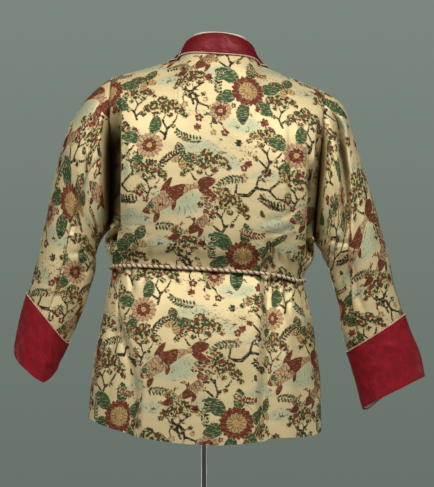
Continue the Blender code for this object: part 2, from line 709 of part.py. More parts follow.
def smooth_route(route, step):
    """Points at even steps along a smooth curve through a route's own points."""
    table = [(index, *point) for index, point in enumerate(route)]
    fine = [between(table, at)[1:] for at in np.linspace(0, len(route) - 1, 200)]
    lengths = np.concatenate(([0.0], np.cumsum([np.linalg.norm(b - a) for a, b in zip(fine, fine[1:])])))
    wanted = np.linspace(0.0, lengths[-1], max(round(lengths[-1] / step), 2) + 1)
    return [np.array([np.interp(w, lengths, [p[axis] for p in fine]) for axis in range(3)]) for w in wanted]


def on_front(x, height, out):
    turn, level = front_place(x, height)
    return body(turn, level, True, out)[0]


def make_tie():
    level = height_level(WAIST)
    stand_off = CORD_RADIUS + CORD_CLEAR
    knot_out = KNOT[1] + CORD_CLEAR
    last_turn = front_place(KNOT[0], WAIST)[0]
    points = []
    for index in range(CORD_POINTS + 1):
        turn = last_turn * (2.0 * index / CORD_POINTS - 1.0)
        points.append(posture(body(turn, level, abs(turn) > 0.5, stand_off, False)[0]))
    add_tube("waist_cord", points, CORD_RADIUS, CREAM_CORD)

    bm = bmesh.new()
    bmesh.ops.create_uvsphere(bm, u_segments=16, v_segments=10, radius=1.0)
    bmesh.ops.scale(bm, vec=KNOT, verts=bm.verts)
    bmesh.ops.translate(bm, vec=posture(on_front(0.0, WAIST, knot_out)), verts=bm.verts)
    add_mesh("waist_knot", bm, CREAM_CORD)

    for name, route in (("cord_end_left", LEFT_END), ("cord_end_right", RIGHT_END)):
        spots = []
        for x, drop in route:
            out = max(stand_off, knot_out - END_SETTLE * drop)
            spots.append(posture(on_front(x, WAIST - drop, out)))
        add_tube(name, smooth_route(spots, END_STEP), CORD_RADIUS, CREAM_CORD)


def form_rings():
    """Sections of the torso and neck; over the shoulders they follow the jacket's seam from inside."""
    rings = list(FORM)
    slope = (NECK_SIDE - SHOULDER) / (SHOULDER_HALF - NECK_HALF)
    for height, depth in zip(FORM_SHOULDER, FORM_SHOULDER_DEPTH):
        under = CLOTH * math.hypot(1.0, slope) + FORM_CLEAR
        half_width = NECK_HALF + (NECK_SIDE - height - under) / slope
        in_front = depth - FORM_SHOULDER_FRONT
        rings.append(FormRing(height, half_width, depth, in_front, FORM_SHOULDER_ROUNDNESS))
    return rings + list(NECK)


def make_form():
    rings = form_rings()
    bm = bmesh.new()
    bmesh.ops.create_grid(bm, x_segments=FORM_COLUMNS, y_segments=len(rings) - 1, size=0.5)
    places = {v: (v.co.x + 0.5, round((v.co.y + 0.5) * (len(rings) - 1))) for v in bm.verts}
    starts = {row: v for v, (across, row) in places.items() if across < 0.25 / FORM_COLUMNS}
    ends = {v: starts[row] for v, (across, row) in places.items() if across > 1.0 - 0.25 / FORM_COLUMNS}
    for vert, (across, row) in places.items():
        ring = rings[row]
        angle = 2.0 * math.pi * across
        sine, cosine = math.sin(angle), math.cos(angle)
        power = 2.0 / ring.roundness
        x = ring.half_width * math.copysign(abs(sine) ** power, sine)
        y = (ring.back if cosine > 0 else ring.front) * math.copysign(abs(cosine) ** power, cosine)
        upright = np.array((x, y, ring.height))
        share = ease((ring.height - FORM[0].height) / FORM_POSTURE_FADE)
        vert.co = upright + (posture(upright) - upright) * share
    bmesh.ops.weld_verts(bm, targetmap=ends)
    rims = [edge for edge in bm.edges if edge.is_boundary]
    bmesh.ops.holes_fill(bm, edges=rims, sides=0)
    add_mesh("form_torso", bm, FORM_JERSEY)


def make_stand():
    """A turned base with a boss, and the pole that carries the form."""
    profile = (
        (0.0, BOSS_TOP),
        (BOSS_RADIUS - BASE_EDGE, BOSS_TOP),
        (BOSS_RADIUS, BOSS_TOP - BASE_EDGE),
        (BOSS_RADIUS, BASE_THICK),
        (BASE_RADIUS - BASE_EDGE, BASE_THICK),
        (BASE_RADIUS, BASE_THICK - BASE_EDGE),
        (BASE_RADIUS, 0.0),
        (0.0, 0.0),
    )
    bm = bmesh.new()
    verts = [bm.verts.new((radius, 0.0, height)) for radius, height in profile]
    for upper, lower in zip(verts, verts[1:]):
        bm.edges.new((upper, lower))
    mesh = bpy.data.meshes.new("stand_base")
    bm.to_mesh(mesh)
    bm.free()
    base = add_part("stand_base", mesh, STEEL)
    screw = base.modifiers.new("turned", "SCREW")
    screw.steps = BASE_SIDES
    screw.render_steps = BASE_SIDES
    screw.use_merge_vertices = True
    screw.merge_threshold = 0.00005

    top = FORM[0].height - GAP
    bottom = BOSS_TOP + GAP
    bm = bmesh.new()
    bmesh.ops.create_cone(
        bm, cap_ends=True, segments=POLE_SIDES, radius1=POLE_RADIUS, radius2=POLE_RADIUS, depth=top - bottom
    )
    bmesh.ops.translate(bm, vec=(0.0, 0.0, 0.5 * (top + bottom)), verts=bm.verts)
    add_mesh("stand_pole", bm, STEEL)


make_back()
make_front("front_left", 1)
make_front("front_right", -1)
make_sleeve("sleeve_left", 1, LEFT_SLEEVE, LEFT_FOLDS)
make_sleeve("sleeve_right", -1, RIGHT_SLEEVE, RIGHT_FOLDS)
make_cuff("cuff_left", 1, LEFT_SLEEVE, LEFT_FOLDS, LEFT_CUFF)
make_cuff("cuff_right", -1, RIGHT_SLEEVE, RIGHT_FOLDS, RIGHT_CUFF)
make_collar()
make_tie()
make_form()
make_stand()
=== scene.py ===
"""Looks of a belted brocade lounging jacket on a limbless dress form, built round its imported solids.

Metres, +Z up. The jacket's front faces -Y, the wearer's left is +X, and the picture is taken from +Y.
"""

import math

import bmesh
import bpy
import numpy as np
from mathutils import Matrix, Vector
from mathutils.bvhtree import BVHTree


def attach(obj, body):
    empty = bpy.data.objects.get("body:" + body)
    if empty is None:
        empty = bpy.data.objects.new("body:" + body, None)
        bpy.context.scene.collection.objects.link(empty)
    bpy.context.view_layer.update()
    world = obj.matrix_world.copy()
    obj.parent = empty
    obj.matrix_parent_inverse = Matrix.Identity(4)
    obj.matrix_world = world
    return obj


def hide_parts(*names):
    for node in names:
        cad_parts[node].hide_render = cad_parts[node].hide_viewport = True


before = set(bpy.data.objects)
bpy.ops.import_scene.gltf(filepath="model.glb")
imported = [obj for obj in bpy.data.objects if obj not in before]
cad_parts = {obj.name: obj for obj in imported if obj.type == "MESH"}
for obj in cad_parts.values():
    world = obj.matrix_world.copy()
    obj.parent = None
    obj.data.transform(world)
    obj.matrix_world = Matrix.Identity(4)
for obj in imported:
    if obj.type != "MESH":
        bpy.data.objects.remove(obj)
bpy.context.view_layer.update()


# Stand base: a round steel plate with a short boss in its middle, turned in one piece, with eased
# edges and a fine turned lay on its upper face. It lies flat on the floor and carries the pole.
BASE_RADIUS, BASE_THICK, BASE_EDGE, BASE_SEGMENTS = 0.200, 0.010, 0.0012, 96
BOSS_RADIUS, BOSS_TOP = 0.016, 0.034
SHARP = 0.8  # angle across an edge that is eased, in radians


def finish(name, sockets):
    """A material whose Principled shader has these plain values on its own sockets."""
    made = bpy.data.materials.new(name)
    made.use_nodes = True
    shader = made.node_tree.nodes["Principled BSDF"]
    for socket, value in sockets.items():
        shader.inputs[socket].default_value = value
    return made, made.node_tree, shader


def put(tree, kind, inputs=None, **settings):
    """A shader node with its settings, and with its inputs linked or set."""
    node = tree.nodes.new("ShaderNode" + kind)
    for key, value in settings.items():
        setattr(node, key, value)
    for socket, value in (inputs or {}).items():
        if isinstance(value, bpy.types.NodeSocket):
            tree.links.new(value, node.inputs[socket])
        else:
            node.inputs[socket].default_value = value
    return node


def figure(tree, operation, first, second=0.0):
    return put(tree, "Math", {0: first, 1: second}, operation=operation).outputs[0]


def spread(tree, value, low, high, to_low=0.0, to_high=1.0):
    """A value mapped smoothly from one span to another."""
    inputs = {"Value": value, "From Min": low, "From Max": high, "To Min": to_low, "To Max": to_high}
    return put(tree, "MapRange", inputs, interpolation_type="SMOOTHSTEP").outputs[0]


def tint(tree, share, under, over):
    """One colour laid over another by a share."""
    return put(tree, "Mix", {0: share, 6: under, 7: over}, data_type="RGBA").outputs[2]


def noise(tree, where, scale, detail, dimensions="3D"):
    inputs = {"Vector": where, "Scale": scale, "Detail": detail}
    return put(tree, "TexNoise", inputs, noise_dimensions=dimensions).outputs[0]


def ease_edges(bm, reach, segments):
    sharp = [e for e in bm.edges if len(e.link_faces) == 2 and e.calc_face_angle() > SHARP]
    bmesh.ops.bevel(
        bm,
        geom=sharp,
        offset=reach,
        offset_type="OFFSET",
        affect="EDGES",
        segments=segments,
        profile=0.5,
        material=-1,
    )


def add_piece(name, bm, *materials):
    mesh = bpy.data.meshes.new(name)
    bm.to_mesh(mesh)
    bm.free()
    mesh.shade_smooth()
    for made in materials:
        mesh.materials.append(made)
    piece = bpy.data.objects.new(name, mesh)
    bpy.context.scene.collection.objects.link(piece)
    return piece


steel, tree, shader = finish("polished_steel", {"Metallic": 1.0, "Base Color": (0.62, 0.62, 0.61, 1.0)})
where = put(tree, "TexCoord").outputs["Object"]
lay = put(tree, "Mapping", {"Vector": where, "Scale": (420.0, 420.0, 6.0)}).outputs[0]
scratches = noise(tree, lay, 1.0, 3.0)
smears = noise(tree, where, 9.0, 2.0)
worn = figure(tree, "ADD", figure(tree, "MULTIPLY", scratches, 0.22), figure(tree, "MULTIPLY", smears, 0.14))
tree.links.new(figure(tree, "ADD", worn, 0.16), shader.inputs["Roughness"])
dull = tint(tree, spread(tree, smears, 0.35, 0.75), (0.66, 0.66, 0.65, 1.0), (0.50, 0.50, 0.50, 1.0))
tree.links.new(dull, shader.inputs["Base Color"])
bump = put(tree, "Bump", {"Height": scratches, "Strength": 0.06, "Distance": 0.0002})
tree.links.new(bump.outputs[0], shader.inputs["Normal"])

bm = bmesh.new()
profile = [
    bm.verts.new((radius, 0.0, height))
    for radius, height in (
        (0.0, BOSS_TOP),
        (BOSS_RADIUS, BOSS_TOP),
        (BOSS_RADIUS, BASE_THICK),
        (BASE_RADIUS, BASE_THICK),
        (BASE_RADIUS, 0.0),
        (0.0, 0.0),
    )
]
line = [bm.edges.new(pair) for pair in zip(profile, profile[1:])]
bmesh.ops.spin(
    bm,
    geom=profile + line,
    axis=(0, 0, 1),
    cent=(0, 0, 0),
    angle=2.0 * math.pi,
    steps=BASE_SEGMENTS,
    use_merge=True,
)
bmesh.ops.remove_doubles(bm, verts=bm.verts, dist=0.00002)
bmesh.ops.recalc_face_normals(bm, faces=bm.faces)
ease_edges(bm, BASE_EDGE, 3)
stand_base = add_piece("stand_base_plate", bm, steel)
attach(stand_base, "root")
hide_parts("stand_base")


# Stand pole: a straight polished steel rod of 12.7 mm, pressed into the base's boss below and into
# the form's underside above.
POLE_RADIUS, POLE_FOOT, POLE_TOP, POLE_EDGE, POLE_SEGMENTS = 0.00635, 0.0343, 0.7997, 0.0006, 64
bm = bmesh.new()
bmesh.ops.create_cone(
    bm,
    cap_ends=True,
    segments=POLE_SEGMENTS,
    radius1=POLE_RADIUS,
    radius2=POLE_RADIUS,
    depth=POLE_TOP - POLE_FOOT,
)
bmesh.ops.translate(bm, vec=(0.0, 0.0, 0.5 * (POLE_TOP + POLE_FOOT)), verts=bm.verts)
ease_edges(bm, POLE_EDGE, 2)
stand_pole = add_piece("stand_pole_rod", bm, steel)
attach(stand_pole, "root")
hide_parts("stand_pole")


# Form: a limbless torso moulded in one piece and covered in a pale cotton jersey, with a flat-topped
# neck. It leans a little to the wearer's right and holds the whole jacket that way.
LEAN, TILT, PITCH, HEM_BACK = -0.0385, 0.064, 0.10, 0.679  # sideways, up to the left and back, and from where
FORM_FOOT, FORM_UPRIGHT = 0.800, 0.12  # the form takes up the lean over this run above its foot
FORM_ROWS = (  # height, half width, depth behind and before, squareness
    (0.800, 0.140, 0.090, 0.090, 2.2),
    (0.815, 0.160, 0.108, 0.106, 2.2),
    (0.880, 0.166, 0.114, 0.108, 2.2),
    (0.950, 0.158, 0.100, 0.100, 2.2),
    (1.018, 0.150, 0.088, 0.092, 2.2),
    (1.090, 0.160, 0.104, 0.102, 2.2),
    (1.160, 0.172, 0.116, 0.110, 2.2),
    (1.250, 0.180, 0.120, 0.110, 2.1),
    (1.320, 0.187, 0.110, 0.098, 2.0),
    (1.365, 0.192, 0.096, 0.084, 1.9),
    (1.390, 0.192, 0.082, 0.072, 1.7),
    (1.401, 0.186, 0.076, 0.066, 1.6),
    (1.408, 0.164, 0.071, 0.063, 1.55),
    (1.417, 0.138, 0.067, 0.059, 1.55),
    (1.425, 0.115, 0.063, 0.055, 1.55),
    (1.431, 0.097, 0.059, 0.051, 1.55),
    (1.443, 0.060, 0.055, 0.052, 2.0),
    (1.460, 0.057, 0.053, 0.050, 2.0),
    (1.483, 0.055, 0.052, 0.050, 2.0),
    (1.490, 0.053, 0.050, 0.048, 2.0),
    (1.4925, 0.045, 0.043, 0.041, 2.0),
)
FORM_COLUMNS, FORM_STEPS = 120, 4


def ease(value):
    """Smooth step from 0 to 1."""
    value = np.clip(value, 0.0, 1.0)
    return value * value * (3.0 - 2.0 * value)


def unit(vectors):
    return vectors / np.linalg.norm(vectors, axis=-1, keepdims=True)


def read_table(rows, at):
    """Rows of a table at places in its first column, along smooth curves through the rows."""
    table = np.array(rows, dtype=float)
    places = table[:, 0]
    slopes = np.gradient(table, places, axis=0)
    index = np.clip(np.searchsorted(places, at) - 1, 0, len(places) - 2)
    span = (places[index + 1] - places[index])[:, None]
    s = (np.asarray(at)[:, None] - places[index][:, None]) / span
    rise = table[index + 1] - table[index]
    start, end = slopes[index] * span, slopes[index + 1] * span
    bend, twist = 3.0 * rise - 2.0 * start - end, start + end - 2.0 * rise
    return table[index] + s * start + s**2 * bend + s**3 * twist


def leaning(points):
    """Points of the square, upright jacket where the leaning form holds them."""
    x, y, z = points.T
    return np.stack((x + LEAN * (z - HEM_BACK), y, z + TILT * x + PITCH * y), axis=1)


def power(values, exponent):
    return np.sign(values) * np.abs(values) ** exponent


jersey, tree, shader = finish(
    "cotton_jersey", {"Roughness": 0.9, "Sheen Weight": 0.15, "Sheen Roughness": 0.5}
)
where = put(tree, "TexCoord").outputs["Object"]
mottle = noise(tree, where, 26.0, 4.0)
cover = tint(tree, spread(tree, mottle, 0.3, 0.7), (0.44, 0.39, 0.33, 1.0), (0.52, 0.47, 0.40, 1.0))
tree.links.new(cover, shader.inputs["Base Color"])
knit = {"Vector": where, "Scale": 260.0, "Distortion": 1.5, "Detail Scale": 2.0}
ribs = put(tree, "TexWave", knit).outputs[1]
bump = put(tree, "Bump", {"Height": ribs, "Strength": 0.25, "Distance": 0.0003})
tree.links.new(bump.outputs[0], shader.inputs["Normal"])

bm = bmesh.new()
steps = FORM_STEPS * (len(FORM_ROWS) - 1)
bmesh.ops.create_grid(bm, x_segments=FORM_COLUMNS, y_segments=steps, size=0.5)
flat = np.array([vert.co for vert in bm.verts]) + 0.5
starts = {round(a * steps): v for v, (t, a, _) in zip(bm.verts, flat) if t < 0.5 / FORM_COLUMNS}
ends = {v: starts[round(a * steps)] for v, (t, a, _) in zip(bm.verts, flat) if t > 1.0 - 0.5 / FORM_COLUMNS}
ring = read_table([(index, *row) for index, row in enumerate(FORM_ROWS)], flat[:, 1] * (len(FORM_ROWS) - 1))
sine, cosine = np.sin(2.0 * np.pi * flat[:, 0]), np.cos(2.0 * np.pi * flat[:, 0])
deep = np.where(cosine > 0.0, ring[:, 3], ring[:, 4])
upright = np.stack(
    (ring[:, 2] * power(sine, 2.0 / ring[:, 5]), deep * power(cosine, 2.0 / ring[:, 5]), ring[:, 1]), axis=1
)
held = ease((ring[:, 1:2] - FORM_FOOT) / FORM_UPRIGHT)
for vert, place in zip(bm.verts, upright + (leaning(upright) - upright) * held):
    vert.co = place
bmesh.ops.weld_verts(bm, targetmap=ends)
bmesh.ops.holes_fill(bm, edges=[e for e in bm.edges if e.is_boundary], sides=0)
bmesh.ops.recalc_face_normals(bm, faces=bm.faces)
form = add_piece("form_cover", bm, jersey)
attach(form, "root")
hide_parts("form_torso")


# Back: one panel of figured brocade from the neck to the hem, lined, cut in one with no centre seam.
# The tie cord draws it in at the waist, where it blouses above the cord and breaks into pleats below.
CLOTH = 0.0020
HEM_SIDE, HEM_FRONT, HEM_FADE, HEM_CURVE, HEM_LIFT = 0.720, 0.714, 0.870, 1.6, (0.011, -0.185, 0.12)
WAIST, ARMPIT, SHOULDER = 1.018, 1.095, 1.395
ARMPIT_HALF, SHOULDER_HALF, ARMHOLE_DEPTH = 0.203, 0.212, 0.078
NECK_HALF, NECK_SIDE, NECK_BACK, NECK_BACK_DEPTH = 0.078, 1.441, 1.460, 0.060
BLADES, FRONT_ARCH, BACK_ARCH, ARCH_START, SHOULDER_ROLL = 0.006, 2.0, 1.35, 0.2, 2.5
ROUNDNESS, HALF_GIRTH, GAP = 2.4, 0.62, 0.0003
BODY = (  # height, half width, extra half width on the wearer's left, depth of back and of front
    (HEM_SIDE, 0.232, 0.000, 0.150, 0.148),
    (0.742, 0.231, 0.000, 0.151, 0.149),
    (0.806, 0.228, 0.000, 0.150, 0.147),
    (HEM_FADE, 0.219, 0.000, 0.146, 0.141),
    (0.934, 0.207, 0.002, 0.135, 0.131),
    (0.972, 0.197, 0.006, 0.122, 0.122),
    (1.000, 0.188, 0.010, 0.111, 0.115),
    (WAIST, 0.185, 0.011, 0.107, 0.112),
    (1.036, 0.190, 0.011, 0.114, 0.117),
    (1.054, 0.201, 0.009, 0.128, 0.126),
    (1.074, 0.206, 0.006, 0.134, 0.131),
    (ARMPIT, ARMPIT_HALF, 0.000, 0.136, 0.132),
)
# Pleats: share of the half girth at the top and foot, heights, depth, sharp and soft side, cloth taken in
BODY_FOLDS = (
    (0.334, 0.155, 1.150, 0.700, 0.016, 0.008, 0.100, 0.052),
    (-0.150, -0.120, 1.110, 0.700, 0.012, 0.006, 0.080, 0.036),
    (-0.360, -0.330, 1.060, 0.900, 0.006, 0.010, 0.050, 0.020),
    (0.640, 0.600, 1.100, 0.800, 0.008, 0.008, 0.070, 0.026),
    (-0.660, -0.620, 1.100, 0.820, 0.008, 0.008, 0.070, 0.026),
)
FOLD_FADE, FOLD_BEND, TUCK = 0.060, (0.785, 0.205), 0.85
# Creases, in millimetres: depth (ridges below zero), width, then places sideways and up along each
BACK_CREASES = (
    (13, 5.5, -203, 1262, -209, 1190, -212, 1098),
    (-4, 8, -186, 1275, -190, 1190, -193, 1096),
    (6, 9, -168, 1300, -172, 1200, -176, 1090),
    (3, 7, -196, 1150, -150, 1128, -120, 1122),
    (3, 6, -190, 1118, -150, 1100, -112, 1096),
    (-3, 9, 140, 1297, 145, 1182, 140, 1078),
    (2, 24, -26, 1340, -20, 1220, -24, 1086),
    (4.8, 5, 138, 1043, 134, 1086),
    (4, 5, 103, 1040, 109, 1074),
    (3.2, 4.4, 63, 1040, 59, 1066),
    (3.5, 5, 13, 1040, 16, 1078),
    (3.5, 4.4, -39, 1040, -43, 1068),
    (4.8, 5.5, -82, 1040, -76, 1082),
    (4.8, 4.4, -101, 1041, -103, 1070),
    (4.8, 5, 145, 1032, 140, 989),
    (4, 5, 116, 1032, 118, 1001),
    (3.2, 4.4, 76, 1032, 72, 1005),
    (3.5, 5.5, 30, 1032, 32, 989),
    (3.2, 4.4, -20, 1032, -22, 1007),
    (4, 5.5, -66, 1032, -70, 986),
    (6.4, 4.4, -132, 1074, -136, 1040),
    (6.4, 4.4, -149, 1066, -153, 1028),
    (6.4, 4.4, -167, 1057, -170, 1016),
    (6.4, 5, -140, 1016, -145, 963),
    (6.4, 5.5, -161, 1005, -167, 943),
    (3, 18, 61, 970, 66, 855, 76, 690),
    (3.5, 20, -63, 951, -66, 835, -74, 680),
    (4, 10, -113, 970, -122, 835, -134, 680),
    (4, 14, -176, 959, -186, 835, -195, 690),
    (3, 8, 176, 999, 184, 893, 193, 700),
)
# Hollows along the armholes: greatest depth and share of the armhole's own; they go on below the arms
LEFT_VALLEY, RIGHT_VALLEY, FRONT_VALLEY = (0.098, 1.5), (0.055, 1.1), (0.010, 0.3)
LEFT_VALLEY_WIDTH, RIGHT_VALLEY_WIDTH, FRONT_VALLEY_WIDTH, VALLEY_TUCK = 0.0225, 0.013, 0.009, 0.08
VALLEY_TOP, VALLEY_FADE, VALLEY_START = 0.80, 0.28, 0.04
SIDE_HOLLOW, SIDE_FOOT, SIDE_RUN, SIDE_WIDTH = 0.060, 1.035, 0.060, 0.019
SEAM_SINK, SEAM_WIDTH = 0.0012, 0.0030
SLACK_BROAD, SLACK_SMALL, CREASE_SWAY = 0.0009, 0.00035, 0.25
BACK_COLUMNS, BACK_ROWS = 256, 352
# The lining's mesh is coarser; it keeps clear of the folds, and is pushed back where it would show through
LINING_EVERY, LINING_CLEAR, LINING_WIDER = 4, 0.010, 2.0
LINING_BEHIND, LINING_PASSES, LINING_SAMPLE = 0.0008, 4, 0.6
DRAWN_OUT, NO_FIGURE = 2.4, 9.0  # stretch that hides the design, and the distance that means no figure
TURN_PROBE, LEVEL_PROBE, EASE_LEVEL, EASE_TURN = 0.004, 0.006, 0.045, 0.012
EASING = ((-2.0, 0.12), (-1.0, 0.23), (0.0, 0.30), (1.0, 0.23), (2.0, 0.12))  # steps and weights
BEND_LEVEL, BEND_SPAN, BEND_TURN = 1.03, 0.13, (0.01, 0.07)  # where the bend at the armpits' height is eased
NECK_HIGH, NECK_LOW, NECK_TURN = (1.992, 0.05), (1.2, 0.2), (0.24, 0.08)  # and the bends below the neck


def arc(share):
    """Height of a round of radius 1 over a share of its radius."""
    return np.sqrt(np.maximum(1.0 - share**2, 0.0))


def bell(off, width):
    return np.exp(-((off / width) ** 2))


def height_at(level):
    """Height of a level between the hem and the armpit, before the hem's curve."""
    return HEM_SIDE + level * (ARMPIT - HEM_SIDE)


def hem_height(turn):
    """Height of the lower edge: lowest at the centre back."""
    cosine = np.cos(np.pi * turn)
    behind = HEM_SIDE - (HEM_SIDE - HEM_BACK) * np.maximum(cosine, 0.0) ** HEM_CURVE
    return np.where(turn <= 0.5, behind, HEM_SIDE - (HEM_SIDE - HEM_FRONT) * np.abs(cosine))


def shoulder_line(x, front):
    """Height of the shoulder seam and, inside the neck, of the back's neck edge."""
    x = np.abs(x)
    slope = NECK_SIDE + (SHOULDER - NECK_SIDE) * (x - NECK_HALF) / (SHOULDER_HALF - NECK_HALF)
    dip = 0.0 if front else (NECK_BACK - NECK_SIDE) * arc(x / NECK_HALF)
    return np.where(x >= NECK_HALF, slope, NECK_SIDE + dip)


def body_shape(turn, level, front):
    """Unfolded body: turn is 0 at the centre back, half at a side and 1 at the centre front, below zero
    on the wearer's right; level is 0 at the hem, 1 at the armpit and 2 at the shoulder."""
    at = np.abs(turn)
    sine, cosine = np.sin(np.pi * at), np.abs(np.cos(np.pi * at))
    share, swell = power(sine, 2.0 / ROUNDNESS), cosine ** (2.0 / ROUNDNESS)
    height = height_at(np.minimum(level, 1.0))
    row = read_table(BODY, height)
    lift = HEM_LIFT[0] * bell(turn - HEM_LIFT[1], HEM_LIFT[2])
    fade = 1.0 - ease((height - HEM_SIDE) / (HEM_FADE - HEM_SIDE))
    rise = (hem_height(at) + lift - HEM_SIDE) * fade
    low_x = (row[:, 1] + np.where(turn > 0.0, row[:, 2], 0.0)) * share
    low_y = row[:, 4 if front else 3] * swell
    up = np.clip(level - 1.0, 0.0, 1.0)
    edge_y = ARMHOLE_DEPTH * arc(2.0 * up - 1.0)
    top_x = SHOULDER_HALF * share
    top_y = 0.0 if front else NECK_BACK_DEPTH * arc(top_x / NECK_HALF)
    full = BODY[-1][4 if front else 3] + BLADES * np.sin(np.pi * up)
    behind = BACK_ARCH + (FRONT_ARCH - BACK_ARCH) * ease(np.abs(top_x) / NECK_HALF - ARCH_START)
    arch = FRONT_ARCH if front else behind
    centre_y = top_y + (full - top_y) * np.maximum(1.0 - up**SHOULDER_ROLL, 0.0) ** (1.0 / arch)
    high_x = (ARMPIT_HALF + (SHOULDER_HALF - ARMPIT_HALF) * up) * share
    high_y = edge_y + (centre_y - edge_y) * swell
    high_z = ARMPIT + up * (shoulder_line(top_x, front) - ARMPIT)
    low = level <= 1.0
    x = np.where(low, low_x, high_x) * np.where(turn < 0.0, -1.0, 1.0)
    y = np.maximum(np.where(low, low_y, high_y), 0.5 * GAP) * (-1.0 if front else 1.0)
    return np.stack((x, y, np.where(low, height + rise, high_z)), axis=1)


def body_form(turn, level, front):
    """The unfolded body, with its bends at the armpits' height and below the ends of the neck eased."""
    shape = body_shape(turn, level, front)
    eased = sum(weight * body_shape(turn, level + EASE_LEVEL * step, front) for step, weight in EASING)
    from_side = np.abs(0.5 - np.abs(turn))
    share = np.exp(-(((level - BEND_LEVEL) / BEND_SPAN) ** 4))
    share = share * ease((from_side - BEND_TURN[0]) / BEND_TURN[1])
    shape = shape + (eased - shape) * share[:, None]
    if front:
        return shape
    eased = sum(
        weight * body_shape(np.clip(turn + EASE_TURN * step, -0.5, 0.5), level, front)
        for step, weight in EASING
    )
    share = ease((NECK_HIGH[0] - level) / NECK_HIGH[1]) * ease((level - NECK_LOW[0]) / NECK_LOW[1])
    share = share * ease((NECK_TURN[0] - np.abs(turn)) / NECK_TURN[1])
    return shape + (eased - shape) * share[:, None]


def body_face(turn, level, front):
    """Points of the unfolded body and the directions out of it."""
    lowest, highest = (0.5, 1.2) if front else (0.0, 0.5)
    side = np.where(turn < 0.0, -1.0, 1.0)
    near = np.maximum(np.abs(turn) - TURN_PROBE, lowest)
    far = np.minimum(np.abs(turn) + TURN_PROBE, highest)
    below, above = np.maximum(level - LEVEL_PROBE, 0.0), np.minimum(level + LEVEL_PROBE, 2.0)
    above = np.where((below < 1.0) & (above > 1.0), 1.0, above)
    round_way = body_form(far * side, level, front) - body_form(near * side, level, front)
    upward = body_form(turn, above, front) - body_form(turn, below, front)
    return body_form(turn, level, front), unit(np.cross(upward, round_way)) * side[:, None]


def fold_depth(turn, height, inner=False):
    """How far the pleats sink the cloth and tuck it under, and the cloth that they take in. The lining
    sinks sooner and rises later, so that it keeps clear of the outer face."""
    clear = LINING_CLEAR if inner else 0.0
    sunk, tucked, taken = np.zeros(turn.shape), np.zeros(turn.shape), np.zeros(turn.shape)
    for top_turn, foot_turn, top, foot, depth, sharp, soft, take in BODY_FOLDS:
        line = foot_turn + (top_turn - foot_turn) * ease((height - FOLD_BEND[0]) / FOLD_BEND[1])
        past = (np.abs(turn) - np.abs(line)) * HALF_GIRTH
        here = (top_turn * turn > 0.0) * ease((top - height) / FOLD_FADE)
        if foot > HEM_SIDE:
            here = here * ease((height - foot) / FOLD_FADE)
        step = ease((past + clear) / sharp + 0.5)
        sunk += depth * here * step * (1.0 - ease((past - clear - sharp) / soft))
        tucked += TUCK * depth * here * step * (1.0 - ease((past - 0.5 * sharp) / (0.4 * soft)))
        taken += take * here * step
    return sunk, tucked, taken


def creased(x, z, creases, inner):
    """Depth of soft uneven troughs and ridges along listed lines; the lining has only wider troughs."""
    sunk = np.zeros(x.shape)
    for index, (depth, width, *path) in enumerate(creases):
        depth, width, ends = depth / 1000.0, width / 1000.0, np.array(path).reshape(-1, 2) / 1000.0
        if inner:
            depth, width = max(depth, 0.0), LINING_WIDER * width
        nearest, share = np.full(x.shape, np.inf), np.zeros(x.shape)
        for step, (a, b) in enumerate(zip(ends, ends[1:])):
            way = b - a
            t = np.clip(((x - a[0]) * way[0] + (z - a[1]) * way[1]) / (way @ way), 0.0, 1.0)
            off = np.hypot(x - a[0] - t * way[0], z - a[1] - t * way[1])
            share = np.where(off < nearest, (step + t) / (len(ends) - 1), share)
            nearest = np.minimum(nearest, off)
        uneven = 1.0 + CREASE_SWAY * np.sin(7.0 * share + 2.3 * index)
        run = np.sin(np.pi * np.clip(0.08 + 0.84 * share, 0.0, 1.0)) ** 0.7
        sunk += depth * run * uneven * bell(nearest, width * (0.8 + 0.4 * share))
    return sunk


def slack(a, b, seed):
    """The cloth's own slight unevenness, in metres."""
    broad = np.sin(31.0 * a + 3.1 * np.sin(17.0 * b + seed))
    broad = broad * np.sin(27.0 * b + 2.2 * np.sin(21.0 * a + seed))
    small = np.sin(83.0 * a + 2.0 * np.sin(47.0 * b - seed)) * np.sin(71.0 * b + 1.7 * np.sin(59.0 * a))
    return SLACK_BROAD * broad + SLACK_SMALL * small


def armhole_inward(up, front):
    """Direction in an armhole's plane from its edge inwards: level below its middle, and down above it."""
    y = arc(2.0 * up - 1.0) / ARMHOLE_DEPTH + 1e-6
    z = np.maximum(2.0 * up - 1.0, 0.0) / (0.5 * (SHOULDER - ARMPIT))
    return -unit(np.stack((np.zeros(up.shape), np.where(front, -y, y), z), axis=1))


def valley(up, left, front):
    """Depth of the hollow along an armhole seam: it fills out towards the shoulder and below the arm."""
    sizes = zip(FRONT_VALLEY, LEFT_VALLEY, RIGHT_VALLEY)
    deep, share = (np.where(front, before, np.where(left, one, other)) for before, one, other in sizes)
    reach = share * ARMHOLE_DEPTH * arc(2.0 * up - 1.0)
    return np.minimum(deep, reach) * ease((VALLEY_TOP - up) / VALLEY_FADE) * ease(up / VALLEY_START)


def run_lengths(points, columns, rows):
    """Distances over the cloth along a grid's rows and columns, from their starts."""
    grid = points.reshape(rows + 1, columns + 1, 3)
    across = np.linalg.norm(np.diff(grid, axis=1), axis=2)
    along = np.linalg.norm(np.diff(grid, axis=0), axis=2)
    across = np.concatenate((np.zeros((rows + 1, 1)), np.cumsum(across, axis=1)), axis=1)
    along = np.concatenate((np.zeros((1, columns + 1)), np.cumsum(along, axis=0)), axis=0)
    return across, along


